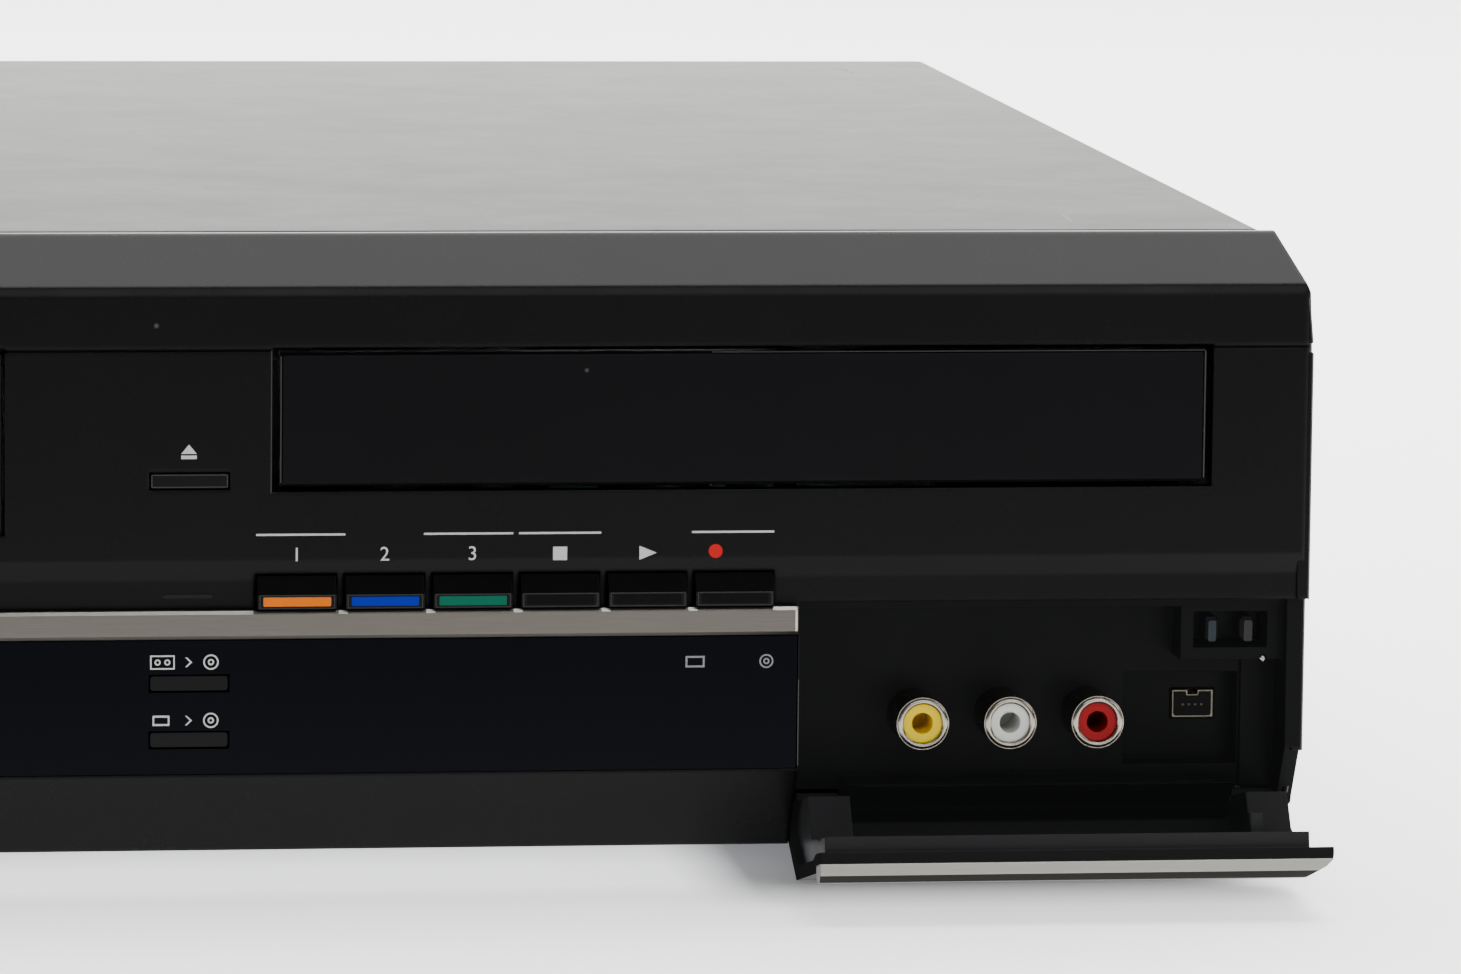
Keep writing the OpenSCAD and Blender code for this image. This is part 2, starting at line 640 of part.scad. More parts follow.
module rca_insert_yellow() color([0.85, 0.72, 0.1]) rca_insert(0);
module rca_insert_white() color(white_plastic) rca_insert(1);
module rca_insert_red() color([0.72, 0.1, 0.1]) rca_insert(2);

module dv_socket() color(steel) placed() translate([dv_x, 0, dv_z]) {
  difference() {
    along_y(dv_y, dv_y + 13) polygon([[-3.3, -2.2], [3.3, -2.2], [3.3, 2.2], [0.8, 2.2],
      [0.8, 1.5], [-0.8, 1.5], [-0.8, 2.2], [-3.3, 2.2]]);
    along_y(dv_y - 1, dv_y + 9) polygon([[-2.9, -1.8], [2.9, -1.8], [2.9, 1.8], [1.2, 1.8],
      [1.2, 1.1], [-1.2, 1.1], [-1.2, 1.8], [-2.9, 1.8]]);
  }
  block([-2, dv_y + 1.2, -0.7], [2, dv_y + 9.2, 0.1]);
}

module flap_latch() color(black) placed() {
  y0 = bay_d - 1.2;
  block([latch_x + 0.3, y0, latch_z + 0.3], [latch_x + latch_w - 0.3, y0 + 1.2, latch_z + latch_h - 0.3]);
  for (x = [latch_x + 2.2, latch_x + latch_w - 3.8]) {
    block([x, 8, latch_z + 1], [x + 1.6, y0 + eps, latch_z + latch_h - 1]);
  }
  for (x = [latch_x + 2.2, latch_x + latch_w - 4.2])
    block([x, 8, latch_z + 1.4], [x + 2, 9.4, latch_z + latch_h - 1.4]);
}

// The flap is drawn closed and turned open about its hinge.
module flap_open() translate([0, hinge_y, hinge_z]) rotate([flap_angle, 0, 0])
  translate([0, -hinge_y, -hinge_z]) children();

flap_low_z = z_chin + 0.5;
flap_top_z = z_keys - 0.2;

module flap_skin() polygon([
  [(z_window - flap_low_z) * chin_run, flap_low_z], [0, z_window], [0, z_strip],
  [1.2, z_strip], [1.2, flap_top_z], [3, flap_top_z], [3, flap_top_z - 4], [flap_t, z_strip - 3],
  [flap_t, z_window + bend_in],
  [(z_window - flap_low_z) * chin_run + flap_slant, flap_low_z]]);

module flap_lip() polygon([
  [2.8, flap_top_z - 1.3], [5.5, flap_top_z - 1.3], [5.5, flap_top_z - 5.6], [flap_t, z_strip - 4.4],
  [flap_t - 0.5, z_strip]]);

arm_back = bay_d - web_t - seat_gap - 0.1;

module flap_arm() {
  polygon([
    [(z_window - hinge_z) * chin_run + 1, hinge_z - 1], [flap_t - 0.6, z_window + bend_in],
    [flap_t - 0.6, z_strip - 3], [4.8, z_strip - 1.2], [5.7, latch_z - 2.6], [6.1, hinge_z + 16.3],
    [arm_back, hinge_z + 13.1], [arm_back, hinge_z + 1.8], [hinge_y, hinge_z - 1.8]]);
  translate([hinge_y, hinge_z]) circle(1.9);
}

module flap_door() color(dark) placed() flap_open() {
  difference() {
    intersection() {
      along_x(flap_x, case_w / 2) flap_skin();
      linear_extrude(case_h) panel_plan();
      along_y(-1, 40) panel_front();
    }
    // corner that would meet the cover when the flap swings open
    block([inner_w / 2 - 1.4, -1, 0], [case_w, 20, hinge_z - 2.6]);
  }
  along_x(flap_x + 1, cheek_x - seat_gap - 0.4) flap_lip();
  for (x = [arm_x0, arm_x1]) along_x(x, x + arm_w) flap_arm();
  rod_x(arm_x0 + arm_w - eps, ear_x0 + 4.4, hinge_y, hinge_z, pin_r);
  rod_x(ear_x1 - 4.4, arm_x1 + eps, hinge_y, hinge_z, pin_r);
  // catch for the latch
  translate([latch_x + latch_w / 2, 0, latch_z]) block([-1, 5, 1.6], [1, 8.6, latch_h - 1.6]);
}

module flap_trim() color(silver) placed() flap_open() intersection() {
  along_x(flap_x, case_w / 2) polygon([
    [1.2, z_strip], [-strip_proud + 0.6, z_strip], [-strip_proud, z_strip + 0.6],
    [-strip_proud, flap_top_z - trim_edge], [trim_edge - strip_proud, flap_top_z], [1.2, flap_top_z]]);
  // outer end, cut back in two steps
  linear_extrude(case_h) polygon([[flap_x, 1.2], [flap_x, -strip_proud], [case_w / 2 - 4.2, -strip_proud],
    [case_w / 2 - 1.2, 0], [case_w / 2, 1.2]]);
}

// ---------- disc drive ----------

module tray_lid() color(black) placed() difference() {
  intersection() {
    along_x(drive_x - lid_w / 2, drive_x + lid_w / 2) polygon([
      [0.5, lid_z], [lid_t, lid_z], [lid_t, lid_z + lid_h], [0.5, lid_z + lid_h],
      [0, lid_z + lid_h - 0.5], [0, lid_z + 0.5]]);
    linear_extrude(case_h) polygon([
      [drive_x - lid_w / 2 + 0.5, 0], [drive_x + lid_w / 2 - 0.5, 0], [drive_x + lid_w / 2, 0.5],
      [drive_x + lid_w / 2, lid_t], [drive_x - lid_w / 2, lid_t], [drive_x - lid_w / 2, 0.5]]);
  }
  // hollow back, with a rim
  block([drive_x - lid_w / 2 + 3, 1.8, tray_top + 2],
    [drive_x + lid_w / 2 - 3, lid_t + 1, lid_z + lid_h - 2]);
}

module disc_tray() color(dark) placed() {
  difference() {
    union() {
      translate([drive_x - tray_w / 2, tray_y, tray_z + 3]) linear_extrude(tray_h - 3)
        round_rect([tray_w, tray_len], 3);
      // side runners
      for (side = [-1, 1]) translate([drive_x + side * (tray_w / 2 - 1.6), 0, 0])
        block([-1.6, tray_y, tray_z], [1.6, tray_y + tray_len - 4, tray_z + 4]);
      // front rib behind the lid
      block([drive_x - tray_w / 2, tray_y, tray_z], [drive_x + tray_w / 2, tray_y + 2.4, tray_top]);
    }
    // wells for the two sizes of disc
    rod_z(drive_x, spindle_y, tray_top - 2.8, tray_top + 1, pocket_r);
    rod_z(drive_x, spindle_y, tray_top - 4, tray_top, small_disc_r);
    // finger scoops
    for (side = [-1, 1]) rod_z(drive_x + side * pocket_r, spindle_y, tray_top - 2.8, tray_top + 1, 9);
    // opening over the turntable and the laser sled, out to the rear edge
    rod_z(drive_x, spindle_y, tray_z - 1, tray_top + 1, 19);
    block([drive_x - 19, spindle_y, tray_z - 1], [drive_x + 19, tray_y + tray_len + 1, tray_top + 1]);
  }
  // rack under the left side, with a tooth space on the gear's line
  rack_back = rack_x - 1.2 * gear_module;
  rack_teeth = ceil(tray_travel / rack_pitch) + 4;
  block([rack_back - 2, tray_gear_y - 2.5 * rack_pitch, tray_z - 3.4],
    [rack_back, tray_gear_y + (rack_teeth - 2) * rack_pitch, tray_z + 3.1]);
  for (i = [0 : rack_teeth - 1])
    translate([rack_back - eps, tray_gear_y + (i - 1.5) * rack_pitch, tray_z - 3.4]) linear_extrude(3)
      polygon([[0, 0.30 * rack_pitch], [1.15 * gear_module, 0.19 * rack_pitch],
        [2.0 * gear_module, 0.08 * rack_pitch], [2.0 * gear_module, -0.08 * rack_pitch],
        [1.15 * gear_module, -0.19 * rack_pitch], [0, -0.30 * rack_pitch]]);
}

module drive_frame() color(dark) placed() {
  x0 = drive_x - drive_w / 2;
  x1 = drive_x + drive_w / 2;
  y1 = drive_y + drive_len;
  difference() {
    union() {
      block([x0, drive_y, drive_z], [x1, y1, drive_z + frame_t]);
      for (x = [x0, x1 - frame_t]) block([x, drive_y, drive_z], [x + frame_t, y1, bridge_z]);
      block([x0, y1 - frame_t, drive_z], [x1, y1, bridge_z]);
      // ledges under the tray's runners, and lugs over its edges
      for (side = [-1, 1]) translate([drive_x + side * (drive_w / 2 - frame_t - 1.4), 0, 0]) {
        block([-1.8, drive_y + 2, tray_z - 2.2], [1.8, y1 - 2, tray_z - 0.3]);
        for (share = [0.03, 0.47]) let (y = drive_y + share * drive_len)
          block([-1.4, y, tray_top + 0.3], [1.8, y + 8, tray_top + 2.3]);
      }
    }
    // window for the traverse
    block([drive_x - traverse_w / 2 - 2, spindle_y - 30, drive_z - 1],
      [drive_x + traverse_w / 2 + 2, traverse_hinge_y + 3, drive_z + frame_t + 1]);
  }
  // spindles of the loading gears
  for (x = [tray_gear_x, pulley_x]) {
    rod_z(x, tray_gear_y, drive_z, gear_z + 1.4, pin_r);
    rod_z(x, tray_gear_y, drive_z, drive_z + frame_t + 1.2, 2 * pin_r);
  }
  // bearing blocks of the traverse
  for (side = [-1, 1])
    translate([drive_x + side * (traverse_w / 2 + 4.4), traverse_hinge_y, 0]) difference() {
      block([-1.8, -3, drive_z + frame_t - eps], [1.8, 3, traverse_z + 5]);
      rod_x(-3, 3, 0, traverse_z + 2, pin_r + pin_gap);
    }
}

module clamp_bridge() color(steel) placed() difference() {
  union() {
    block([drive_x - drive_w / 2, spindle_y - 20, bridge_z],
      [drive_x + drive_w / 2, spindle_y + 20, bridge_z + 1]);
    for (y = [spindle_y - 20, spindle_y + 19])
      block([drive_x - drive_w / 2 + 10, y, bridge_z], [drive_x + drive_w / 2 - 10, y + 1, bridge_z + 3]);
  }
  rod_z(drive_x, spindle_y, bridge_z - 1, bridge_z + 4, 11.4);
}

module disc_clamp() color(dark) placed() translate([drive_x, spindle_y, 0]) rotate_extrude() polygon([
  [9, clamp_z + 0.1], [15, clamp_z], [15, clamp_z + 2], [10.6, clamp_z + 3.2], [10.6, bridge_z + 1.3],
  [14, bridge_z + 1.3], [14, bridge_z + 2.6], [0, bridge_z + 2.6], [0, clamp_z + 4.2], [9, clamp_z + 4.2]]);

sled_y = spindle_y + 15;
traverse_hinge_y = sled_y + sled_travel + 31;

module traverse() color(steel) placed() {
  y0 = spindle_y - 26;
  difference() {
    union() {
      block([drive_x - traverse_w / 2, y0, traverse_z],
        [drive_x + traverse_w / 2, traverse_hinge_y, traverse_z + 3]);
      rod_x(drive_x - traverse_w / 2, drive_x + traverse_w / 2, traverse_hinge_y, traverse_z + 2, 2);
      rod_z(drive_x, spindle_y, traverse_z, traverse_z + 6, 13);
    }
    block([drive_x - 17, spindle_y + 17, traverse_z - 1],
      [drive_x + 17, traverse_hinge_y - 8, traverse_z + 5]);
    rod_z(drive_x, spindle_y, traverse_z + 2, traverse_z + 8, pin_r + pin_gap);
  }
  rod_x(drive_x - traverse_w / 2 - 6, drive_x + traverse_w / 2 + 6, traverse_hinge_y, traverse_z + 2, pin_r);
  // guide rods of the sled, on end blocks
  for (x = [-27, 27]) {
    rod_y(drive_x + x, traverse_z + 6.2, sled_y - 7, traverse_hinge_y - 4, pin_r);
    for (y = [sled_y - 7, traverse_hinge_y - 7])
      block([drive_x + x - 3, y, traverse_z + 3 - eps], [drive_x + x + 3, y + 3, traverse_z + 8.4]);
  }
}

module turntable() color(dark) placed() translate([drive_x, spindle_y, 0]) {
  rod_z(0, 0, traverse_z + 2.4, seat_z - 3, pin_r);
  rotate_extrude() polygon([[0, traverse_z + 6.3], [11.5, traverse_z + 6.3], [11.5, traverse_z + 9],
    [13.5, seat_z - 1.6], [13.5, seat_z], [7.4, seat_z], [7.2, seat_z + 1.6], [5.4, seat_z + 2.8],
    [0, seat_z + 2.8]]);
}

module laser_sled() color(dark) placed() {
  y0 = sled_y;
  difference() {
    union() {
      block([drive_x - 31, y0, traverse_z + 3.6], [drive_x + 31, y0 + 20, traverse_z + 9]);
      block([drive_x - 15, y0 - 1, traverse_z + 3.6], [drive_x + 15, y0 + 24, traverse_z + 9.6]);
      rod_z(drive_x, y0 + 9, traverse_z + 9, tray_z + 2, 3.6);
    }
    for (x = [-27, 27]) rod_y(drive_x + x, traverse_z + 6.2, y0 - 5, y0 + 40, pin_r + pin_gap);
  }
  rod_z(drive_x, y0 + 9, tray_z + 1.8, tray_z + 2.6, 2.2);
}

module loading_motor() color(steel) placed() {
  x = pulley_x + 26;
  rod_z(x, tray_gear_y + 2, drive_z + frame_t, drive_z + frame_t + 4.6, 9);
  rod_z(x, tray_gear_y + 2, drive_z + frame_t + 4, drive_z + frame_t + 9, 1);
}

module loading_pulley() color(ivory) placed() translate([pulley_x, tray_gear_y, 0]) difference() {
  union() {
    translate([0, 0, gear_z - 3]) linear_extrude(4)
      rotate(180 + (0.5 + far_step) * 360 / pulley_teeth) gear_outline(pulley_teeth, gear_module);
    // belt groove
    translate([0, 0, drive_z + frame_t + 1.5]) rotate_extrude()
      polygon([[0, 0], [9, 0], [8, 1], [9, 2], [0, 2]]);
    rod_z(0, 0, drive_z + frame_t + 1.5, gear_z, 3.4);
  }
  rod_z(0, 0, drive_z, gear_z + 4, pin_r + pin_gap);
}

module tray_gear() color(ivory) placed() translate([tray_gear_x, tray_gear_y, 0]) difference() {
  union() {
    translate([0, 0, gear_z - 3]) linear_extrude(6) rotate(180) gear_outline(tray_teeth, gear_module);
    rod_z(0, 0, drive_z + frame_t + 1.5, gear_z, 3.4);
  }
  rod_z(0, 0, drive_z, gear_z + 4, pin_r + pin_gap);
}

// ---------- tape deck ----------

module at_drum() translate([deck_x, drum_y, drum_z]) rotate([-drum_lean, 0, 0]) children();

module tape_chassis() color(steel) placed() difference() {
  x0 = deck_x - deck_w / 2;
  x1 = deck_x + deck_w / 2;
  union() {
    block([x0, deck_y, deck_z], [x1, deck_y + deck_len, deck_z + deck_t]);
    // side brackets that guide the lift
    for (x = [x0 + 1, x1 - 1 - sheet_t * 1.5]) difference() {
      block([x, carrier_y - 2, deck_z], [x + sheet_t * 1.5, carrier_y + draw_in + cassette_d, door_top + 3]);
      for (y = runner_ys) block([x - 1, y, deck_z + 8], [x + 3, y + 5, door_top - 2]);
    }
    // fixed guide posts
    for (p = [[-1.13, -0.55], [-0.77, -0.13], [0.74, -0.13], [1.16, -0.55]] * drum_dia)
      rod_z(deck_x + p[0], drum_y + p[1], deck_z, deck_z + post_h, 2.6);
    // reel spindles
    for (side = [-1, 1]) rod_z(deck_x + side * reel_pitch / 2, reel_y, deck_z, deck_z + 12, pin_r);
    // capstan bearing
    rod_z(capstan_x, capstan_y, deck_z - 4, deck_z + 8, 4.5);
  }
  rod_z(capstan_x, capstan_y, deck_z - flywheel_h, deck_z + capstan_h, pin_r + pin_gap);
  for (i = [-2 : 2]) translate([deck_x + 0.079 * deck_w * i - 4, deck_y + 8, deck_z - 1])
    linear_extrude(4) round_rect([8, 30], 3);
}

module drum_base() color(steel) placed() {
  at_drum() difference() {
    union() {
      rod_z(0, 0, 4.2, drum_low_h, drum_dia / 2);
      rod_z(0, 0, 4, 8, drum_dia / 2 + 3);
    }
    rod_z(0, 0, 3, drum_low_h + 1, 2 + pin_gap);
  }
  // three feet of unequal height stand it on the deck
  foot_r = drum_dia / 2 - 4;
  for (a = [90, 210, 330])
    rod_z(deck_x + foot_r * cos(a), drum_y + foot_r * sin(a), drum_z,
      drum_z + 5.5 - foot_r * sin(a) * sin(drum_lean), 4);
}

module head_drum() color(steel) placed() at_drum() {
  z0 = drum_low_h + 0.4;
  z1 = z0 + drum_top_h;
  difference() {
    rod_z(0, 0, z0, z1, drum_dia / 2);
    rod_z(0, 0, z1 - 3, z1 + 2, 0.4 * drum_dia);
    // windows of the heads
    for (i = [0 : 3]) rotate(45 + 90 * i) translate([drum_dia / 2 - 2.4, -2, z0 - 1]) cube([4, 4, 3.6]);
  }
  rod_z(0, 0, 8, z1 - 2, 2);
  rod_z(0, 0, z1 - 4, z1 + 3, 0.145 * drum_dia);
}

lift_w = carrier_w + 2 * carrier_t + 2 * 0.6;
bay_end = carrier_y + draw_in + cassette_d;

module carrier_lift() color(steel) placed() {
  for (side = [-1, 1]) translate([deck_x + side * (lift_w / 2 + lift_t / 2), 0, 0]) {
    block([-lift_t / 2, carrier_y, carrier_z + 1], [lift_t / 2, bay_end - 2, carrier_z + carrier_h + 2]);
    // runners in the slots of the side brackets
    for (y = runner_ys)
      block([side > 0 ? 0 : -3.4, y + 0.3, carrier_z + 6], [side > 0 ? 3.4 : 0, y + 4.7, carrier_z + 16]);
  }
  block([deck_x - lift_w / 2 - lift_t, bay_end - 22, carrier_z + carrier_h + 0.6],
    [deck_x + lift_w / 2 + lift_t, bay_end - 2, carrier_z + carrier_h + 2]);
}

module cassette_carrier() color(dark) placed() {
  x0 = deck_x - carrier_w / 2 - carrier_t;
  x1 = deck_x + carrier_w / 2 + carrier_t;
  y1 = carrier_y + cassette_d;
  difference() {
    union() {
      block([x0, carrier_y, carrier_z], [x1, y1, carrier_z + carrier_t]);
      for (x = [x0, x1 - carrier_t])
        block([x, carrier_y, carrier_z], [x + carrier_t, y1, carrier_z + carrier_h]);
      for (x = [x0, x1 - tab_w])
        block([x, carrier_y, carrier_z + carrier_h - carrier_t], [x + tab_w, y1, carrier_z + carrier_h]);
      for (side = [-1, 1]) translate([deck_x + side * 0.32 * cassette_w, 0, 0])
        block([-8, y1 - 1.2, carrier_z], [8, y1, carrier_z + 12]);
    }
    // cut-outs over the reels, long enough for the carrier's way in
    for (side = [-1, 1]) {
      rod_z(deck_x + side * reel_pitch / 2, reel_y - draw_in, carrier_z - 1, carrier_z + 4, reel_r + 4);
      block([deck_x + side * reel_pitch / 2 - reel_r - 4, reel_y - draw_in, carrier_z - 1],
        [deck_x + side * reel_pitch / 2 + reel_r + 4, reel_y + 10.5, carrier_z + 4]);
    }
    block([deck_x - 14, carrier_y + 50, carrier_z - 1], [deck_x + 14, y1 + 1, carrier_z + 4]);
  }
}

module at_reel(side) translate([deck_x + side * reel_pitch / 2, reel_y, deck_z + deck_t]) children();

// A reel seat: a table, a brake rim and a hub with three driving teeth.
module reel(side) color(ivory) placed() at_reel(side) difference() {
  union() {
    rod_z(0, 0, 0.4, 3, reel_r);
    rod_z(0, 0, 2.8, 4.6, reel_r - 7);
    rod_z(0, 0, 4, hub_h, hub_r);
    for (i = [0 : 2]) rotate(120 * i) translate([hub_r - 1.5, -1.1, 4]) cube([3.6, 2.2, hub_h - 5.5]);
  }
  rod_z(0, 0, -1, 11, pin_r + pin_gap);
}

module supply_reel() reel(-1);
module take_up_reel() reel(1);

module capstan() color(steel) placed() translate([capstan_x, capstan_y, deck_z - 5 - flywheel_h]) {
  rod_z(0, 0, 3, flywheel_h + 5 + capstan_h, pin_r);
  // flywheel with a rim
  rotate_extrude() polygon([[0, 0], [flywheel_r, 0], [flywheel_r, flywheel_h - 2],
    [flywheel_r - 4, flywheel_h - 1], [flywheel_r - 4, 3], [6, 3], [6, flywheel_h], [0, flywheel_h]]);
}

// ---------- electronics ----------

board_t = 1.6;
board_z = floor_z + 7;
main_x0 = 0.053 * inner_w;
main_x1 = inner_w / 2 - 4;
main_y0 = drive_y + drive_len + 8;
main_y1 = rear_y - sheet_t - 2;
power_x0 = -inner_w / 2 + 4;
power_x1 = main_x0 - 8;
power_y0 = deck_y + deck_len + 10;
hdd_size = [101.6, 147, 26.1];
hdd_x = drive_x - hdd_size[0] / 2;
hdd_y = drive_y + 30;
hdd_z = floor_z + 6;
// Sizes of the parts on the boards
processor = [35, 35, 4];
fin_h = 10;
chip = [18, 12, 2];
small_cap = [4, 12];
tall_cap = [5.5, 22];
main_cap = [12, 34];
transformer = [34, 30, 30];
heat_sink = [3, 48, 30];
tuner_case = [28, 40];

standoffs = concat(
  [for (x = [main_x0 + 6, main_x1 - 6]) for (y = [main_y0 + 6, main_y1 - 6]) [x, y, board_z]],
  [for (x = [power_x0 + 6, power_x1 - 6]) for (y = [power_y0 + 6, main_y1 - 6]) [x, y, board_z]],
  [for (x = [hdd_x + 6, hdd_x + hdd_size[0] - 6])
    for (y = [hdd_y + 20, hdd_y + hdd_size[1] - 27]) [x, y, hdd_z]]);

module main_board() color(board_green) placed() {
  block([main_x0, main_y0, board_z], [main_x1, main_y1, board_z + board_t]);
  top = board_z + board_t - eps;
  w = main_x1 - main_x0;
  d = main_y1 - main_y0;
  translate([main_x0, main_y0, top]) {
    // processor under a finned heat sink
    translate([0.37 * w, 0.26 * d, 0]) {
      cube(processor);
      for (i = [0 : 8]) translate([i * processor[0] * 0.12, 0, processor[2] - eps])
        cube([processor[0] * 0.04, processor[1], fin_h]);
    }
    // memory chips and capacitors
    for (i = [0 : 1]) translate([(0.62 + 0.12 * i) * w, 0.3 * d, 0]) cube(chip);
    translate([0.1 * w, 0.21 * d, 0]) cube(chip * 1.3);
    for (p = [[0.08, 0.57], [0.15, 0.6], [0.23, 0.57], [0.7, 0.57], [0.79, 0.6], [0.86, 0.54]])
      rod_z(p[0] * w, p[1] * d, 0, small_cap[1], small_cap[0]);
  }
  // shielded tuner can behind the aerial sockets
  block([antenna_x - tuner_case[0] / 2, tuner_y - tuner_case[1], top],
    [antenna_x + tuner_case[0] / 2, tuner_y, antenna_zs[1] + 9]);
}

module power_board() color([0.45, 0.33, 0.16]) placed() {
  block([power_x0, power_y0, board_z], [power_x1, main_y1, board_z + board_t]);
  w = power_x1 - power_x0;
  d = main_y1 - power_y0;
  translate([power_x0, power_y0, board_z + board_t - eps]) {
    // switching transformer: a core above and below its winding
    translate([0.44 * w, 0.26 * d, 0]) {
      cube([transformer[0], transformer[1], 8]);
      translate([3, 4, 0]) cube([transformer[0] - 6, transformer[1] - 8, transformer[2] - 1]);
      translate([0, 0, transformer[2] - 5]) cube([transformer[0], transformer[1], 5]);
    }
    // reservoir capacitors, two heat sinks and the mains choke
    rod_z(0.25 * w, 0.45 * d, 0, main_cap[1], main_cap[0]);
    for (i = [0 : 3]) rod_z((0.68 + 0.07 * i) * w, 0.53 * d, 0, tall_cap[1], tall_cap[0]);
    for (x = [0.36, 0.63]) translate([x * w, 0.16 * d, 0]) cube(heat_sink);
    rod_z(0.12 * w, 0.75 * d, 0, small_cap[1], 9);
  }
}

module front_board() color(board_green) placed() {
  y0 = board_y;
  block([-inner_w / 2 + 6, y0, chassis_z + 5], [bay_x - 6, y0 + board_t, z_brow + 1]);
  // raised ends that carry the eject and power switches
  block([door_x1 + 3, y0, z_brow], [slot_x0 - 3, y0 + board_t, eject_z + 8]);
  block([-inner_w / 2 + 3, y0, z_brow], [door_x0 - 3, y0 + board_t, power_z + 8]);
  // key switches
  row_z = (z_keys + z_brow) / 2;
  for (p = concat(
    [for (i = [0 : 5]) [key_x + key_w / 2 + i * key_pitch, row_z]],
    [for (i = [0 : 3]) [tape_key_x + key_w / 2 + i * key_pitch, row_z]],
    [for (x = [slim_x, left_x]) [x + slim_w / 2, eject_z + slim_h / 2]],
    [for (z = dub_zs) [slim_x + slim_w / 2, z + slim_h / 2]],
    [[left_x + slim_w / 2, power_z]])) {
    block([p[0] - 3, y0 - 2.4, p[1] - 2.4], [p[0] + 3, y0 + eps, p[1] + 2.4]);
    rod_y(p[0], p[1], switch_y, y0 - 2.3, 1.5);
  }
  // display tube behind the window
  block([bay_x - 74, window_t + 4, z_window + 2], [bay_x - 8, y0 + eps, z_strip - 3]);
}

module hard_drive() color(silver) placed() translate([hdd_x, hdd_y, hdd_z]) difference() {
  union() {
    block([0, 0, 0], [hdd_size[0], hdd_size[1], hdd_size[2] - 3]);
    translate([3, 10, 0]) linear_extrude(hdd_size[2]) round_rect([hdd_size[0] - 6, hdd_size[1] - 14], 6);
    rod_z(hdd_size[0] / 2, 0.41 * hdd_size[1], 0, hdd_size[2] + 0.8, 0.39 * hdd_size[0]);
  }
  for (x = [3.2, hdd_size[0] - 3.2]) for (y = [0.28, 0.69] * hdd_size[1]) rod_z(x, y, -1, 5, 1.5);
  block([0.16 * hdd_size[0], hdd_size[1] - 6, 2], [0.69 * hdd_size[0], hdd_size[1] + 1, 10]);
}

// ---------- rear ----------

fan_x = 96;
fan_z = chassis_z + 50;
fan_y = rear_y - sheet_t - fan_d;
vent_x = fan_x + fan_side / 2 + 9;
vent_step = 6;
vent_h = 40;

module fan_place() translate([fan_x, 0, fan_z]) children();

module fan_frame() color(black) placed() fan_place() difference() {
  union() {
    along_y(fan_y, fan_y + fan_d) difference() {
      translate([-fan_side / 2, -fan_side / 2]) round_rect([fan_side, fan_side], 4);
      circle(fan_side / 2 - 1.5);
    }
    // motor seat on three arms
    rod_y(0, 0, fan_y, fan_y + 2, fan_side / 4);
    for (i = [0 : 2]) along_y(fan_y, fan_y + 2) rotate(120 * i) translate([0, -1.5])
      square([fan_side / 2 - 1, 3]);
    rod_y(0, 0, fan_y + 2 - eps, fan_y + 8, 2);
  }
  for (x = [-1, 1]) for (z = [-1, 1])
    rod_y(x * (fan_side / 2 - 5), z * (fan_side / 2 - 5), fan_y - 1, fan_y + fan_d + 1, 1.8);
}

module fan_rotor() color(dark) placed() fan_place() {
  difference() {
    rod_y(0, 0, fan_y + 2.6, fan_y + fan_d - 1, fan_side / 4);
    rod_y(0, 0, fan_y + 1, fan_y + fan_d - 4, 2 + pin_gap);
  }
  // seven pitched blades
  intersection() {
    rod_y(0, 0, fan_y + 3, fan_y + fan_d - 1.4, fan_side / 2 - 2.4);
    for (i = [0 : 6]) rotate([0, 360 / 7 * i, 0]) translate([fan_side / 4 - 1, fan_y + fan_d / 2, 0])
      rotate([38, 0, 0]) translate([0, -9, -0.6]) cube([fan_side / 2, 18, 1.2]);
  }
}

scart_x = -24;
scart_zs = [board_z + 12, board_z + 34];
rear_step = 14;
rca_rear_x = [for (i = [0 : 3]) scart_x - 30 - rear_step * (3 - i)];
rca_rear_zs = [for (i = [0 : 2]) board_z + 10 + 16 * i];
rca_block_y = rear_y - 14;
antenna_x = 46;
tuner_y = rear_y - sheet_t - 4;
antenna_zs = [board_z + 20, board_z + 42];
inlet_x = -inner_w / 2 + 24;
inlet_z = board_z + 16;

module rear_panel() color(steel) placed() difference() {
  along_y(rear_y - sheet_t, rear_y) intersection() {
    cover_outline(sheet_t + seat_gap);
    translate([-cover_w, floor_z]) square([2 * cover_w, case_h]);
  }
  for (z = scart_zs) block([scart_x - 24.3, rear_y - 5, z - 6.3], [scart_x + 24.3, rear_y + 5, z + 6.3]);
  for (x = rca_rear_x) for (z = rca_rear_zs) rod_y(x, z, rear_y - 5, rear_y + 5, jack_dia / 2 + 0.3);
  for (z = antenna_zs) rod_y(antenna_x, z, rear_y - 5, rear_y + 5, 6.3);
  block([inlet_x - 11.3, rear_y - 5, inlet_z - 8.3], [inlet_x + 11.3, rear_y + 5, inlet_z + 8.3]);
  // fan grille: rings of slots between four spokes
  fan_place() difference() {
    for (r = [10 : 4 : fan_side / 2 - 2]) along_y(rear_y - 5, rear_y + 5) difference() {
      circle(r + 1.2);
      circle(r - 1.2);
    }
    along_y(rear_y - 6, rear_y + 6) for (a = [45, 135]) rotate(a)
      square([fan_side * 1.5, 2.4], center = true);
  }
  // cooling slots
  for (i = [0 : 7]) translate([vent_x + vent_step * i, 0, fan_z - 0.6 * vent_h])
    along_y(rear_y - 5, rear_y + 5) slot_outline([vent_step / 2, vent_h]);
}

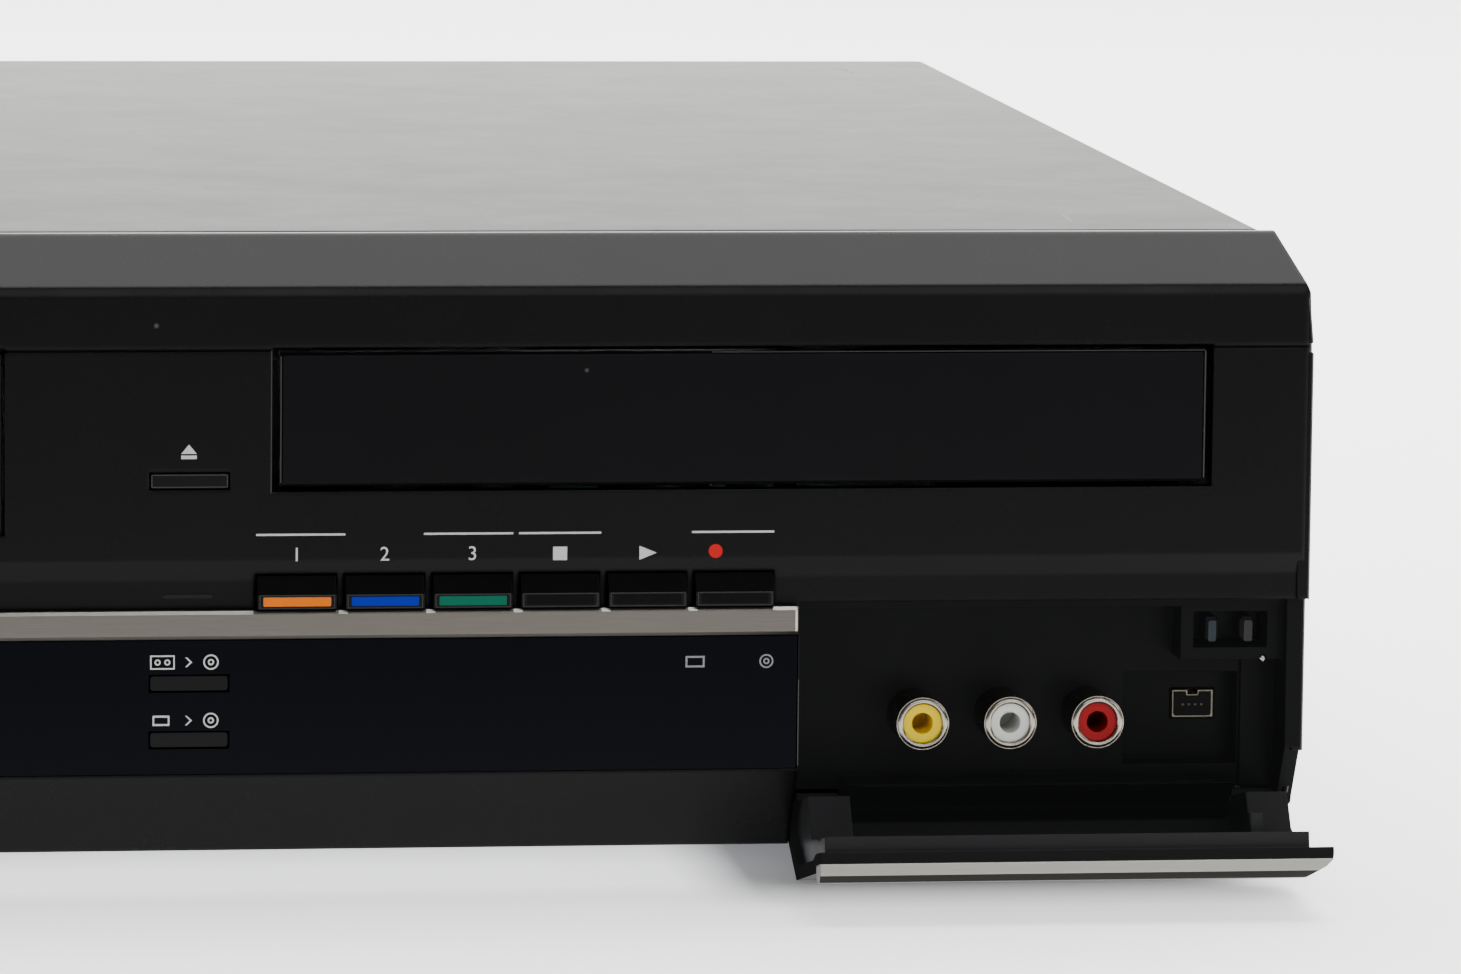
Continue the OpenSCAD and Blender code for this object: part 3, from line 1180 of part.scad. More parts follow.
module rear_sockets() color(black) placed() {
  for (z = scart_zs) translate([scart_x, 0, z]) difference() {
    along_y(rear_y - 14, rear_y + 2.4) polygon([[-24, -6], [21, -6], [24, -3], [24, 6], [-24, 6]]);
    along_y(rear_y - 6, rear_y + 3)
      polygon([[-22.6, -4.6], [20.4, -4.6], [22.6, -2.4], [22.6, 4.6], [-22.6, 4.6]]);
    // ten narrow contacts in the tongue
    for (i = [0 : 9]) translate([-19 + 4 * i, 0, 0]) block([-0.5, rear_y - 10, -1.5], [0.5, rear_y, 1.5]);
  }
  // moulded block that carries the jack shells
  difference() {
    block([rca_rear_x[0] - 7, rca_block_y, board_z + board_t],
      [rca_rear_x[3] + 6, rear_y - sheet_t, rca_rear_zs[2] + 7]);
    for (x = rca_rear_x) for (z = rca_rear_zs) rod_y(x, z, rca_block_y + 4, rear_y, jack_dia / 2 + 0.1);
  }
}

module rear_jacks() color(steel) placed() {
  for (x = rca_rear_x) for (z = rca_rear_zs) translate([x, 0, z]) difference() {
    rod_y(0, 0, rca_block_y + 4, rear_y + jack_reach, jack_dia / 2);
    rod_y(0, 0, rear_y - 2, rear_y + jack_reach + 1, pin_hole_r);
    rod_y(0, 0, rear_y + jack_reach - 0.8, rear_y + jack_reach + 1, jack_dia / 2 - 0.6);
  }
  for (z = antenna_zs) translate([antenna_x, 0, z]) difference() {
    union() {
      rod_y(0, 0, tuner_y, rear_y + 1.6, 6);
      rod_y(0, 0, tuner_y, rear_y + jack_reach, 4.8);
    }
    rod_y(0, 0, tuner_y + 1, rear_y + jack_reach + 1, 4.1);
  }
}

module mains_inlet() color(black) placed() translate([inlet_x, 0, inlet_z]) difference() {
  along_y(rear_y - 16, rear_y + 1) round_rect_at(22, 16, 3);
  along_y(rear_y - 12, rear_y + 2) union() {
    for (x = [-3.6, 3.6]) translate([x, 0]) circle(4.2);
    square([7.2, 6], center = true);
  }
}

module round_rect_at(w, h, r) translate([-w / 2, -h / 2]) round_rect([w, h], r);

// ---------- pieces ----------

top_cover();
bottom_chassis();
rear_panel();
feet();
front_panel();
accent_strip();
display_window();
cassette_door();
jack_bezel();
rca_shells();
rca_insert_yellow();
rca_insert_white();
rca_insert_red();
dv_socket();
flap_latch();
flap_door();
flap_trim();
power_button();
tape_eject_button();
disc_eject_button();
select_button_1();
select_button_2();
select_button_3();
stop_button();
play_button();
record_button();
dub_button_1();
dub_button_2();
tape_rewind_button();
tape_stop_button();
tape_play_button();
tape_forward_button();
tray_lid();
disc_tray();
drive_frame();
clamp_bridge();
disc_clamp();
traverse();
turntable();
laser_sled();
loading_motor();
loading_pulley();
tray_gear();
tape_chassis();
drum_base();
head_drum();
carrier_lift();
cassette_carrier();
supply_reel();
take_up_reel();
capstan();
main_board();
power_board();
front_board();
hard_drive();
fan_frame();
fan_rotor();
rear_sockets();
rear_jacks();
mains_inlet();
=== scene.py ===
import math

import bmesh
import bpy
from mathutils import Matrix, Vector


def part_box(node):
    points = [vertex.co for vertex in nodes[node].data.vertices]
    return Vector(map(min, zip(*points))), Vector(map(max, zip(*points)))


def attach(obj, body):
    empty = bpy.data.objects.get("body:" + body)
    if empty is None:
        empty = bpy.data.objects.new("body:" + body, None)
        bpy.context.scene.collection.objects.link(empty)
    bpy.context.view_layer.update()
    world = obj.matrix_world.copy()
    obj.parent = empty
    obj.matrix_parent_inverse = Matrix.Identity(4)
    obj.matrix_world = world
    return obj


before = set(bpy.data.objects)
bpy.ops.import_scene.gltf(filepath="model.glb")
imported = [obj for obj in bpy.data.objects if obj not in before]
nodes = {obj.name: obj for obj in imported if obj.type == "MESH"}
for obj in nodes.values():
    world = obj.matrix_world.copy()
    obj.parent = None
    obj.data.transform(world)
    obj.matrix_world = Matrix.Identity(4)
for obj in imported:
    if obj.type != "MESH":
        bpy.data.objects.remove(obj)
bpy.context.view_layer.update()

Y_SHIFT = -169.459  # the front face's plane in the part's frame, in millimetres


def P(x, y, z):
    """A point given in millimetres from the front face's plane, in the part's frame in metres."""
    return Vector((x / 1000, (y + Y_SHIFT) / 1000, z / 1000))


def add(name, data):
    """A new object in the scene."""
    ob = bpy.data.objects.new(name, data)
    bpy.context.scene.collection.objects.link(ob)
    return ob


# ---------- camera ----------

# the pinhole that was fitted to the photograph's edges
PHOTO_W, FOCAL_PIXELS, SENSOR_W = 1461, 8777.77, 36
YAW, PITCH, ROLL = 0.1357, 0.1253, 0.0109
EYE = (-59.87, -1339.79, 235.68)


def make_camera():
    data = bpy.data.cameras.new("camera")
    data.sensor_fit = "HORIZONTAL"
    data.sensor_width = SENSOR_W
    data.lens = FOCAL_PIXELS * SENSOR_W / PHOTO_W
    data.clip_start = 0.05
    data.clip_end = 50
    cam = add("camera", data)
    ahead = Vector((math.sin(YAW) * math.cos(PITCH), math.cos(YAW) * math.cos(PITCH),
                    -math.sin(PITCH)))
    right = Vector((math.cos(YAW), -math.sin(YAW), 0))
    up = right.cross(ahead)
    rolled_right = right * math.cos(ROLL) + up * math.sin(ROLL)
    rolled_up = up * math.cos(ROLL) - right * math.sin(ROLL)
    m = Matrix((rolled_right, rolled_up, -ahead)).transposed().to_4x4()
    m.translation = P(*EYE)
    cam.matrix_world = m
    bpy.context.scene.camera = cam


make_camera()


# ---------- light ----------

# name: place, target, size, watts, spread in degrees
LIGHTS = {
    "top_light": ((0.2, 0.45, 1.4), (0.15, 0.35, 0), (1.7, 1.25), 52, 180),
    "back_light": ((0.3, 1.7, 1.6), (0.3, 1.4, 0), (3.6, 1.8), 80, 120),
    "far_light": ((0.2, 4.2, 0.75), (0, 0, 0.1), (4.5, 0.9), 24, 180),
    "fill_light": ((0.6, -1.7, 0.42), (0.1, -0.15, 0.03), (0.5, 0.4), 2.2, 180),
    "brow_light": ((0.25, -1.45, 0.95), (0.1, -0.15, 0.09), (1.3, 0.35), 7.5, 180),
    "right_light": ((1.4, -0.3, 0.8), (0.2, -0.1, 0.03), (0.7, 0.7), 7, 180),
}
WORLD_STRENGTH = 0.12


def area_light(name, place, target, size, watts, spread):
    data = bpy.data.lights.new(name, "AREA")
    data.shape = "RECTANGLE"
    data.size, data.size_y = size
    data.energy = watts
    data.spread = math.radians(spread)
    ob = add(name, data)
    ob.location = place
    ob.rotation_euler = (Vector(target) - Vector(place)).to_track_quat("-Z", "Y").to_euler()


for light, values in LIGHTS.items():
    area_light(light, *values)

world = bpy.data.worlds.new("world")
bpy.context.scene.world = world
world.use_nodes = True
background = world.node_tree.nodes["Background"]
background.inputs["Color"].default_value = (1, 1, 1, 1)
background.inputs["Strength"].default_value = WORLD_STRENGTH


# ---------- material helpers ----------

class Mat:
    """A node material with a principled shader, and short calls that add texture to it."""

    def __init__(self, name, color, rough, metallic, spec, ior=1.5):
        self.m = bpy.data.materials.new(name)
        self.m.use_nodes = True
        self.nt = self.m.node_tree
        self.b = self.nt.nodes["Principled BSDF"]
        self.color = tuple(color) + (1,)
        self.b.inputs["Base Color"].default_value = self.color
        self.b.inputs["Roughness"].default_value = rough
        self.b.inputs["Metallic"].default_value = metallic
        self.b.inputs["Specular IOR Level"].default_value = spec
        self.b.inputs["IOR"].default_value = ior
        self.height = None
        self.coordinates = self.nt.nodes.new("ShaderNodeTexCoord").outputs
        self.obj = self.coordinates["Object"]
        self.m.diffuse_color = self.color

    def node(self, kind, **inputs):
        n = self.nt.nodes.new(kind)
        for k, v in inputs.items():
            if hasattr(v, "is_linked"):
                self.nt.links.new(v, n.inputs[k])
            else:
                n.inputs[k].default_value = v
        return n

    def axes(self, source="Object"):
        """The three axes of a coordinate, by their letters."""
        return self.node("ShaderNodeSeparateXYZ", Vector=self.coordinates[source]).outputs

    def noise(self, scale, detail, rough=0.55, grain=None):
        n = self.node("ShaderNodeTexNoise", Scale=scale, Detail=detail, Roughness=rough)
        vector = self.obj
        if grain:
            vector = self.node("ShaderNodeMapping", Vector=self.obj, Scale=grain).outputs["Vector"]
        self.nt.links.new(vector, n.inputs["Vector"])
        return n.outputs["Fac"]

    def math(self, op, a, b=None):
        n = self.nt.nodes.new("ShaderNodeMath")
        n.operation = op
        self.nt.links.new(a, n.inputs[0])
        if hasattr(b, "is_linked"):
            self.nt.links.new(b, n.inputs[1])
        elif b is not None:
            n.inputs[1].default_value = b
        return n.outputs[0]

    def distance(self, value, middle):
        """How far a value lies from the middle, either way."""
        return self.math("ABSOLUTE", self.math("SUBTRACT", value, middle))

    def spread(self, fac, low, high, f0=0.3, f1=0.7):
        """Runs from low to high as fac runs from f0 to f1."""
        n = self.nt.nodes.new("ShaderNodeMapRange")
        self.nt.links.new(fac, n.inputs["Value"])
        for k, v in (("From Min", f0), ("From Max", f1), ("To Min", low), ("To Max", high)):
            n.inputs[k].default_value = v
        return n.outputs["Result"]

    def vary_color(self, fac, dark, light):
        """The base colour runs between two multiples of itself."""
        r = self.nt.nodes.new("ShaderNodeValToRGB")
        for e, place, times in zip(r.color_ramp.elements, (0.3, 0.7), (dark, light)):
            e.position = place
            e.color = tuple(min(1, c * times) for c in self.color[:3]) + (1,)
        self.nt.links.new(fac, r.inputs["Fac"])
        self.nt.links.new(r.outputs["Color"], self.b.inputs["Base Color"])

    def base_color(self):
        return self.b.inputs["Base Color"].links[0].from_socket

    def scale_color(self, fac):
        """The base colour so far, times fac."""
        n = self.nt.nodes.new("ShaderNodeVectorMath")
        n.operation = "SCALE"
        self.nt.links.new(self.base_color(), n.inputs[0])
        self.nt.links.new(fac, n.inputs["Scale"])
        self.nt.links.new(n.outputs[0], self.b.inputs["Base Color"])

    def vary_rough(self, fac, low, high):
        self.nt.links.new(self.spread(fac, low, high), self.b.inputs["Roughness"])

    def bump(self, fac, strength, distance):
        n = self.node("ShaderNodeBump", Strength=strength, Distance=distance, Height=fac)
        if self.height is not None:
            self.nt.links.new(self.height, n.inputs["Normal"])
        self.height = n.outputs["Normal"]
        self.nt.links.new(self.height, self.b.inputs["Normal"])

    def soft_edges(self, radius):
        n = self.node("ShaderNodeBevel", Radius=radius)
        n.samples = 4
        self.height = n.outputs["Normal"]
        self.nt.links.new(self.height, self.b.inputs["Normal"])


def plastic(name, color, rough, spec, grain=2500, depth=20, edge=0.3, mottle=0.12, ior=1.5):
    """Moulded plastic: depth of its grain in microns, radius of its edges in millimetres."""
    m = Mat(name, color, rough, 0.0, spec, ior)
    if edge:
        m.soft_edges(edge / 1000)
    m.vary_color(m.noise(18, 4), 1 - mottle, 1 + mottle)
    m.vary_rough(m.noise(60, 5, 0.6), rough * 0.85, rough * 1.2)
    m.bump(m.noise(grain, 2, 0.6), 0.25, depth / 1e6)
    return m


def metal(name, color, rough, grain, scale, depth, mottle, edge=0.3):
    """Metal whose colour, sheen and relief share one noise, drawn out along the grain."""
    m = Mat(name, color, rough, 1.0, 0.5)
    if edge:
        m.soft_edges(edge / 1000)
    lines = m.noise(scale, 4, 0.65, grain)
    m.vary_color(lines, 1 - mottle, 1 + mottle)
    m.vary_rough(lines, rough * 0.8, rough * 1.25)
    m.bump(lines, 0.3, depth / 1e6)
    return m


def dust(m, size, amount, level=0.09):
    """Small pale specks, scattered by the cells of a voronoi texture."""
    n = m.node("ShaderNodeTexVoronoi", Scale=90 / size, Vector=m.obj)
    spot = m.spread(n.outputs["Distance"], 1.0, 0.0, 0.012, 0.05)
    red = m.node("ShaderNodeSeparateColor", Color=n.outputs["Color"]).outputs["Red"]
    pick = m.spread(red, 1.0, 0.0, amount, amount + 0.002)
    mix = m.nt.nodes.new("ShaderNodeMix")
    mix.data_type = "RGBA"
    # on this node the sockets of a colour mix are 0 for the factor, 6 and 7 in, and 2 out
    m.nt.links.new(m.math("MULTIPLY", spot, pick), mix.inputs[0])
    m.nt.links.new(m.base_color(), mix.inputs[6])
    mix.inputs[7].default_value = (level, level, level, 1)
    m.nt.links.new(mix.outputs[2], m.b.inputs["Base Color"])


def lin(r, g, b):
    """Linear colour from 0 to 255 display values."""
    def f(c):
        c /= 255
        return c / 12.92 if c <= 0.04045 else ((c + 0.055) / 1.055) ** 2.4
    return (f(r), f(g), f(b))


# ---------- materials ----------

def cover_lacquer():
    m = Mat("cover_lacquer", lin(110, 111, 106), 0.34, 0.0, 0.25)
    m.soft_edges(0.0006)
    m.vary_color(m.noise(6, 5, 0.6), 0.97, 1.03)
    m.vary_rough(m.noise(40, 6, 0.7), 0.27, 0.36)
    m.bump(m.noise(1400, 3, 0.6), 0.22, 0.00003)
    # painted shade: a thin dark line along the sheet's front edge, the shade of its joint with the
    # panel, which ends towards the right
    at = m.axes()
    edge = m.spread(at["Y"], 0.15, 1.0, -0.1538, -0.1528)
    right = m.spread(at["X"], 0.0, 1.0, 0.14, 0.175)
    m.scale_color(m.math("MAXIMUM", edge, right))
    # painted light: the lid is darker towards the front and lighter towards the back, more than the
    # lights alone make it, standing for its sheen falling off towards the front
    m.scale_color(m.spread(at["Y"], 0.52, 1.15, -0.155, 0.185))
    return m


def floor_card():
    m = Mat("floor_card", (0.90, 0.90, 0.90), 0.8, 0.0, 0.1)
    m.vary_color(m.noise(3, 4), 0.99, 1.01)
    m.bump(m.noise(300, 3), 0.1, 0.00005)
    # a softly lit table whose glow is painted light, with no glow deep under the object, which
    # paints its shadow there, nor far in front, where the black face would mirror it
    at = m.axes()
    out_x = m.math("SUBTRACT", m.math("ABSOLUTE", at["X"]), 0.205)
    out_y = m.math("SUBTRACT", m.math("ABSOLUTE", at["Y"]), 0.165)
    clear = m.spread(m.math("MAXIMUM", out_x, out_y), 0.05, 1.0, -0.085, -0.03)
    glow = m.spread(at["Y"], 0.05, 1.3, -0.42, -0.24)
    # nor behind the open flap, whose end would mirror it, which paints the flap's shadow there
    flap_x = m.spread(m.distance(at["X"], 0.170), 1.0, 0.0, 0.040, 0.052)
    flap_y = m.spread(m.distance(at["Y"], -0.130), 0.94, 0.0, 0.022, 0.048)
    behind = m.math("MULTIPLY", m.math("MULTIPLY", flap_x, flap_y), 1.3)
    glow = m.math("MAXIMUM", m.math("SUBTRACT", glow, behind), 0.02)
    m.b.inputs["Emission Color"].default_value = (1, 1, 1, 1)
    m.nt.links.new(m.math("MULTIPLY", clear, glow), m.b.inputs["Emission Strength"])
    return m


# key: name, linear colour, roughness, specular level, grain scale, grain depth, options
PLASTICS = {
    "face": ("face_plastic", (0.0024, 0.0024, 0.0029), 0.26, 0.08, 3200, 10, dict(edge=0.9)),
    "lid": ("lid_plastic", (0.0028, 0.0028, 0.0035), 0.22, 0.06, 3200, 8, dict(edge=0.2)),
    "bay": ("bay_plastic", (0.0018, 0.0018, 0.0020), 0.38, 0.045, 2600, 15, {}),
    "flap": ("flap_plastic", (0.0145, 0.0145, 0.0154), 0.36, 0.05, 2600, 15, dict(edge=0.4)),
    "key": ("key_plastic", (0.0032, 0.0032, 0.0036), 0.22, 0.08, 3200, 6, dict(edge=0.18)),
    "window": ("window_plastic", (0.0012, 0.0015, 0.0030), 0.10, 0.03, 4000, 2,
               dict(edge=0.1, mottle=0.05)),
    "socket": ("socket_plastic", (0.012, 0.012, 0.012), 0.45, 0.3, 2500, 20, {}),
    "rubber": ("foot_rubber", (0.014, 0.014, 0.014), 0.75, 0.3, 1200, 60, {}),
    "tray": ("tray_plastic", (0.022, 0.022, 0.024), 0.42, 0.35, 2200, 20, {}),
    "ivory": ("gear_acetal", (0.55, 0.53, 0.45), 0.40, 0.5, 1500, 10, {}),
    "board": ("board_mask", (0.015, 0.075, 0.03), 0.32, 0.5, 900, 30, dict(mottle=0.25)),
    "tan": ("board_phenolic", (0.19, 0.12, 0.045), 0.55, 0.4, 700, 30, dict(mottle=0.2)),
    "yellow": ("jack_yellow", lin(240, 208, 2), 0.3, 0.12, 2000, 5, dict(mottle=0.06)),
    "white": ("jack_white", lin(216, 218, 212), 0.30, 0.2, 2000, 5, dict(mottle=0.05)),
    "red": ("jack_red", lin(146, 4, 13), 0.3, 0.12, 2000, 5, dict(mottle=0.06)),
    "print": ("legend_print", lin(172, 174, 172), 0.55, 0.3, 1500, 4, dict(edge=0, mottle=0.08)),
    "print_dim": ("legend_print_dim", lin(116, 118, 120), 0.55, 0.3, 1500, 4,
                  dict(edge=0, mottle=0.08)),
    "print_red": ("legend_print_red", lin(172, 8, 6), 0.55, 0.15, 1500, 4,
                  dict(edge=0, mottle=0.06)),
    "orange": ("key_mark_orange", lin(198, 98, 0), 0.4, 0.06, 2000, 4, dict(edge=0.1, mottle=0.05)),
    "blue": ("key_mark_blue", lin(0, 27, 142), 0.4, 0.06, 2000, 4, dict(edge=0.1, mottle=0.05)),
    "green": ("key_mark_green", lin(0, 86, 66), 0.4, 0.06, 2000, 4, dict(edge=0.1, mottle=0.05)),
    "rim": ("key_rim", (0.010, 0.010, 0.010), 0.25, 0.25, 2500, 4, dict(edge=0.1)),
    # edge: lighter plastic for strips that paint highlights on edges
    "edge": ("moulded_edge", (0.012, 0.013, 0.013), 0.3, 0.4, 2500, 4, dict(edge=0)),
    "inlay": ("key_inlay", (0.0016, 0.0016, 0.0018), 0.16, 0.05, 2500, 2, dict(edge=0.1)),
    "lip_highlight": ("panel_lip", lin(166, 167, 163), 0.4, 0.3, 2500, 4, dict(edge=0.2, mottle=0.08)),
    "end_line": ("worn_edge", (0.05, 0.051, 0.051), 0.3, 0.5, 2500, 4, dict(edge=0)),
    "matt": ("matt_end", (0.012, 0.012, 0.013), 0.8, 0.0, 1800, 30, dict(edge=0, ior=1.02)),
    "jaw_cool": ("jaw_cool_metal", lin(22, 36, 44), 0.3, 0.2, 1500, 4, dict(edge=0, mottle=0.15)),
    "jaw_grey": ("jaw_grey_metal", lin(32, 32, 31), 0.3, 0.2, 1500, 4, dict(edge=0, mottle=0.15)),
    "lens": ("lamp_lens", (0.004, 0.004, 0.004), 0.12, 0.12, 2500, 2, dict(edge=0.1)),
    "scratch": ("bare_scratch", lin(118, 118, 112), 0.5, 0.3, 1500, 4, dict(edge=0, mottle=0.15)),
}
# key: name, linear colour, roughness, grain's stretch, noise scale, relief depth, mottling, edge
METALS = {
    "silver": ("strip_aluminium", lin(93, 89, 84), 0.36, (0.4, 30, 30), 220, 10, 0.14, 0.3),
    "trim": ("trim_aluminium", lin(150, 149, 142), 0.36, (0.4, 30, 30), 220, 10, 0.08, 0.3),
    "glint": ("polished_edge", lin(186, 184, 177), 0.3, (0.4, 30, 30), 220, 5, 0.05, 0),
    "nickel": ("nickel_plate", lin(150, 144, 134), 0.22, (1, 1, 1), 900, 4, 0.06, 0.2),
    "zinc": ("zinc_sheet", lin(190, 192, 196), 0.38, (1, 1, 1), 120, 10, 0.12, 0.3),
    "cast": ("cast_aluminium", lin(176, 178, 182), 0.45, (1, 1, 1), 600, 40, 0.08, 0.3),
    "drum": ("turned_aluminium", lin(205, 206, 210), 0.2, (2, 2, 40), 200, 10, 0.06, 0.3),
    "dv_metal": ("dv_plate", lin(98, 93, 82), 0.32, (1, 1, 1), 900, 4, 0.06, 0.2),
    "dim_metal": ("contact_metal", lin(58, 55, 46), 0.35, (1, 1, 1), 900, 2, 0.05, 0),
    "screw": ("screw_steel", lin(170, 172, 174), 0.32, (1, 1, 1), 700, 10, 0.1, 0.3),
}
M = {"lacquer": cover_lacquer(), "floor": floor_card()}
for key, values in PLASTICS.items():
    M[key] = plastic(*values[:-1], **values[-1])
for key, values in METALS.items():
    M[key] = metal(*values)

# key: size and share of the dust specks
DUST = {"face": (1.0, 0.05), "lid": (1.0, 0.05), "bay": (1.0, 0.05), "flap": (0.8, 0.06),
        "key": (0.7, 0.04)}
for key, values in DUST.items():
    dust(M[key], *values)

# painted light: the bay and the flap glow faintly, so that they never fall to full black in shade;
# the trace of glow stands for the haze
for key in ("bay", "flap"):
    M[key].b.inputs["Emission Color"].default_value = (0.9, 0.95, 1, 1)
    M[key].b.inputs["Emission Strength"].default_value = 0.004

# painted shade: the trim is darker where it faces down or left, for the dark surroundings it would
# mirror there, and the flap on its lower ledge
trim, flap = M["trim"], M["flap"]
facing = trim.axes("Normal")
trim.scale_color(trim.spread(facing["Z"], 0.07, 1.0, -0.45, -0.2))
trim.scale_color(trim.spread(facing["X"], 0.3, 1.0, -0.9, -0.6))
flap.scale_color(flap.spread(flap.axes()["Y"], 0.2, 1.0, -0.1913, -0.1909))

DISC_KEYS = ["select_button_1", "select_button_2", "select_button_3",
             "stop_button", "play_button", "record_button"]
TAPE_KEYS = ["tape_rewind_button", "tape_stop_button", "tape_play_button", "tape_forward_button"]
NODE_MATERIALS = {
    "lacquer": ["top_cover"],
    "face": ["front_panel", "cassette_door"],
    "lid": ["tray_lid"],
    "bay": ["jack_bezel", "flap_latch"],
    "flap": ["flap_door"],
    "key": ["power_button", "tape_eject_button", "disc_eject_button", "dub_button_1",
            "dub_button_2"] + DISC_KEYS + TAPE_KEYS,
    "window": ["display_window"],
    "socket": ["rear_sockets", "mains_inlet", "fan_frame", "fan_rotor"],
    "rubber": ["feet"],
    "tray": ["disc_tray", "drive_frame", "disc_clamp", "turntable", "laser_sled",
             "cassette_carrier"],
    "ivory": ["loading_pulley", "tray_gear", "supply_reel", "take_up_reel"],
    "board": ["main_board", "front_board"],
    "tan": ["power_board"],
    "yellow": ["rca_insert_yellow"],
    "white": ["rca_insert_white"],
    "red": ["rca_insert_red"],
    "silver": ["accent_strip"],
    "trim": ["flap_trim"],
    "nickel": ["rca_shells", "rear_jacks"],
    "dv_metal": ["dv_socket"],
    "zinc": ["bottom_chassis", "rear_panel", "clamp_bridge", "tape_chassis", "traverse",
             "loading_motor", "carrier_lift", "capstan"],
    "cast": ["hard_drive", "drum_base"],
    "drum": ["head_drum"],
}
for key, names in NODE_MATERIALS.items():
    for name in names:
        nodes[name].data.materials.clear()
        nodes[name].data.materials.append(M[key].m)


# ---------- mesh helpers ----------

def finish(name, bm, material, body="case", smooth=False, bevel=0.0):
    """Turns a mesh into a piece. The bevel is in millimetres."""
    me = bpy.data.meshes.new(name)
    bmesh.ops.recalc_face_normals(bm, faces=bm.faces)
    bm.to_mesh(me)
    bm.free()
    ob = add(name, me)
    me.materials.append(M[material].m)
    for p in me.polygons:
        p.use_smooth = smooth
    if bevel:
        mod = ob.modifiers.new("bevel", "BEVEL")
        mod.width = bevel / 1000
        mod.segments = 2
        mod.limit_method = "ANGLE"
        mod.angle_limit = math.radians(35)
        mod.harden_normals = True
    if body:
        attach(ob, body)
    return ob


def solid(bm, first, last):
    """A solid between two outlines with as many points each."""
    a, b = [bm.verts.new(p) for p in first], [bm.verts.new(p) for p in last]
    bm.faces.new(a)
    bm.faces.new(list(reversed(b)))
    n = len(a)
    for i in range(n):
        bm.faces.new([a[i], b[i], b[(i + 1) % n], a[(i + 1) % n]])


def prism(bm, pts, y0, y1):
    """An (x, z) outline in millimetres, extruded from y0 to y1."""
    solid(bm, [P(x, y0, z) for x, z in pts], [P(x, y1, z) for x, z in pts])


def beam(bm, pts, x0, x1):
    """A (y, z) outline in millimetres, extruded from x0 to x1."""
    solid(bm, [P(x0, y, z) for y, z in pts], [P(x1, y, z) for y, z in pts])


def turn(bm, cx, cz, profile, n=48, a0=0.0, a1=360.0):
    """A closed (radius, y) profile, turned about an axis along Y, all round or from a0 to a1."""
    full = a1 - a0 >= 360
    m = n if full else n + 1
    rows = []
    for i in range(m):
        a = math.radians(a0 + (a1 - a0) * i / n)
        rows.append([bm.verts.new(P(cx + r * math.cos(a), y, cz + r * math.sin(a)))
                     for r, y in profile])
    for i in range(n):
        p, q = rows[i], rows[(i + 1) % m]
        for j in range(len(profile)):
            k = (j + 1) % len(profile)
            bm.faces.new([p[j], p[k], q[k], q[j]])
    if not full:
        bm.faces.new(rows[0])
        bm.faces.new(list(reversed(rows[-1])))


def rect(x0, z0, x1, z1):
    return [(x0, z0), (x1, z0), (x1, z1), (x0, z1)]


def rim(bm, x0, z0, x1, z1, w, y0, y1):
    """A rectangular rim of width w."""
    outer, inner = ([[bm.verts.new(P(x, y, z)) for x, z in pts] for y in (y0, y1)]
                    for pts in (rect(x0, z0, x1, z1), rect(x0 + w, z0 + w, x1 - w, z1 - w)))
    for i in range(4):
        j = (i + 1) % 4
        bm.faces.new([outer[0][i], outer[0][j], inner[0][j], inner[0][i]])
        bm.faces.new([outer[1][i], inner[1][i], inner[1][j], outer[1][j]])
        bm.faces.new([outer[0][i], outer[1][i], outer[1][j], outer[0][j]])
        bm.faces.new([inner[0][i], inner[0][j], inner[1][j], inner[1][i]])


def rounded(x0, z0, x1, z1, r, n=5):
    corners = ((x1 - r, z1 - r, 0), (x0 + r, z1 - r, 90), (x0 + r, z0 + r, 180),
               (x1 - r, z0 + r, 270))
    turns = [(cx, cz, math.radians(a + 90 * i / n)) for cx, cz, a in corners for i in range(n + 1)]
    return [(cx + r * math.cos(t), cz + r * math.sin(t)) for cx, cz, t in turns]


def circle(cx, cz, r, n=32):
    turns = [2 * math.pi * i / n for i in range(n)]
    return [(cx + r * math.cos(t), cz + r * math.sin(t)) for t in turns]


def plates(name, shapes, y0, y1, material, body="case", bevel=0.0):
    """Outlines extruded from y0 to y1, as one piece."""
    bm = bmesh.new()
    for s in shapes:
        prism(bm, s, y0, y1)
    finish(name, bm, material, body, bevel=bevel)


def ring(cx, cz, r0, r1, n, **arc):
    return dict(cx=cx, cz=cz, r0=r0, r1=r1, n=n, **arc)


# how far print stands proud of the face, and reaches into it
PRINT_PROUD, PRINT_SUNK = 0.03, 0.02


def mark(name, shapes, material="print"):
    """Printed symbols, outlines and rings on the face's plane, as one piece a hair thick."""
    y0, y1 = -PRINT_PROUD, PRINT_SUNK
    bm = bmesh.new()
    for s in shapes:
        if isinstance(s, dict):
            s = dict(s)
            r0, r1 = s.pop("r0"), s.pop("r1")
            turn(bm, profile=[(r0, y0), (r1, y0), (r1, y1), (r0, y1)], **s)
        else:
            prism(bm, s, y0, y1)
    finish(name, bm, material)


# ---------- floor ----------

bm = bmesh.new()
bm.faces.new([bm.verts.new((x, y, 0)) for x, y in rect(-4, -2.5, 4, 5)])
finish("floor", bm, "floor", None)


# ---------- printed symbols ----------

KEY_X, KEY_PITCH, KEY_W = 49.5, 13.64, 12.2
TAPE_X = -88 - 2 * KEY_PITCH + (KEY_PITCH - KEY_W) / 2
LEFT_X, SLIM_X = -200.0, 38.9  # middles of the left keys and of the slim keys
SYMBOL_Z, LINE_Z, LINE_W = 55.15, 58.35, 0.32
key_mid = [KEY_X + KEY_W / 2 + i * KEY_PITCH for i in range(6)]
tape_mid = [TAPE_X + KEY_W / 2 + i * KEY_PITCH for i in range(4)]


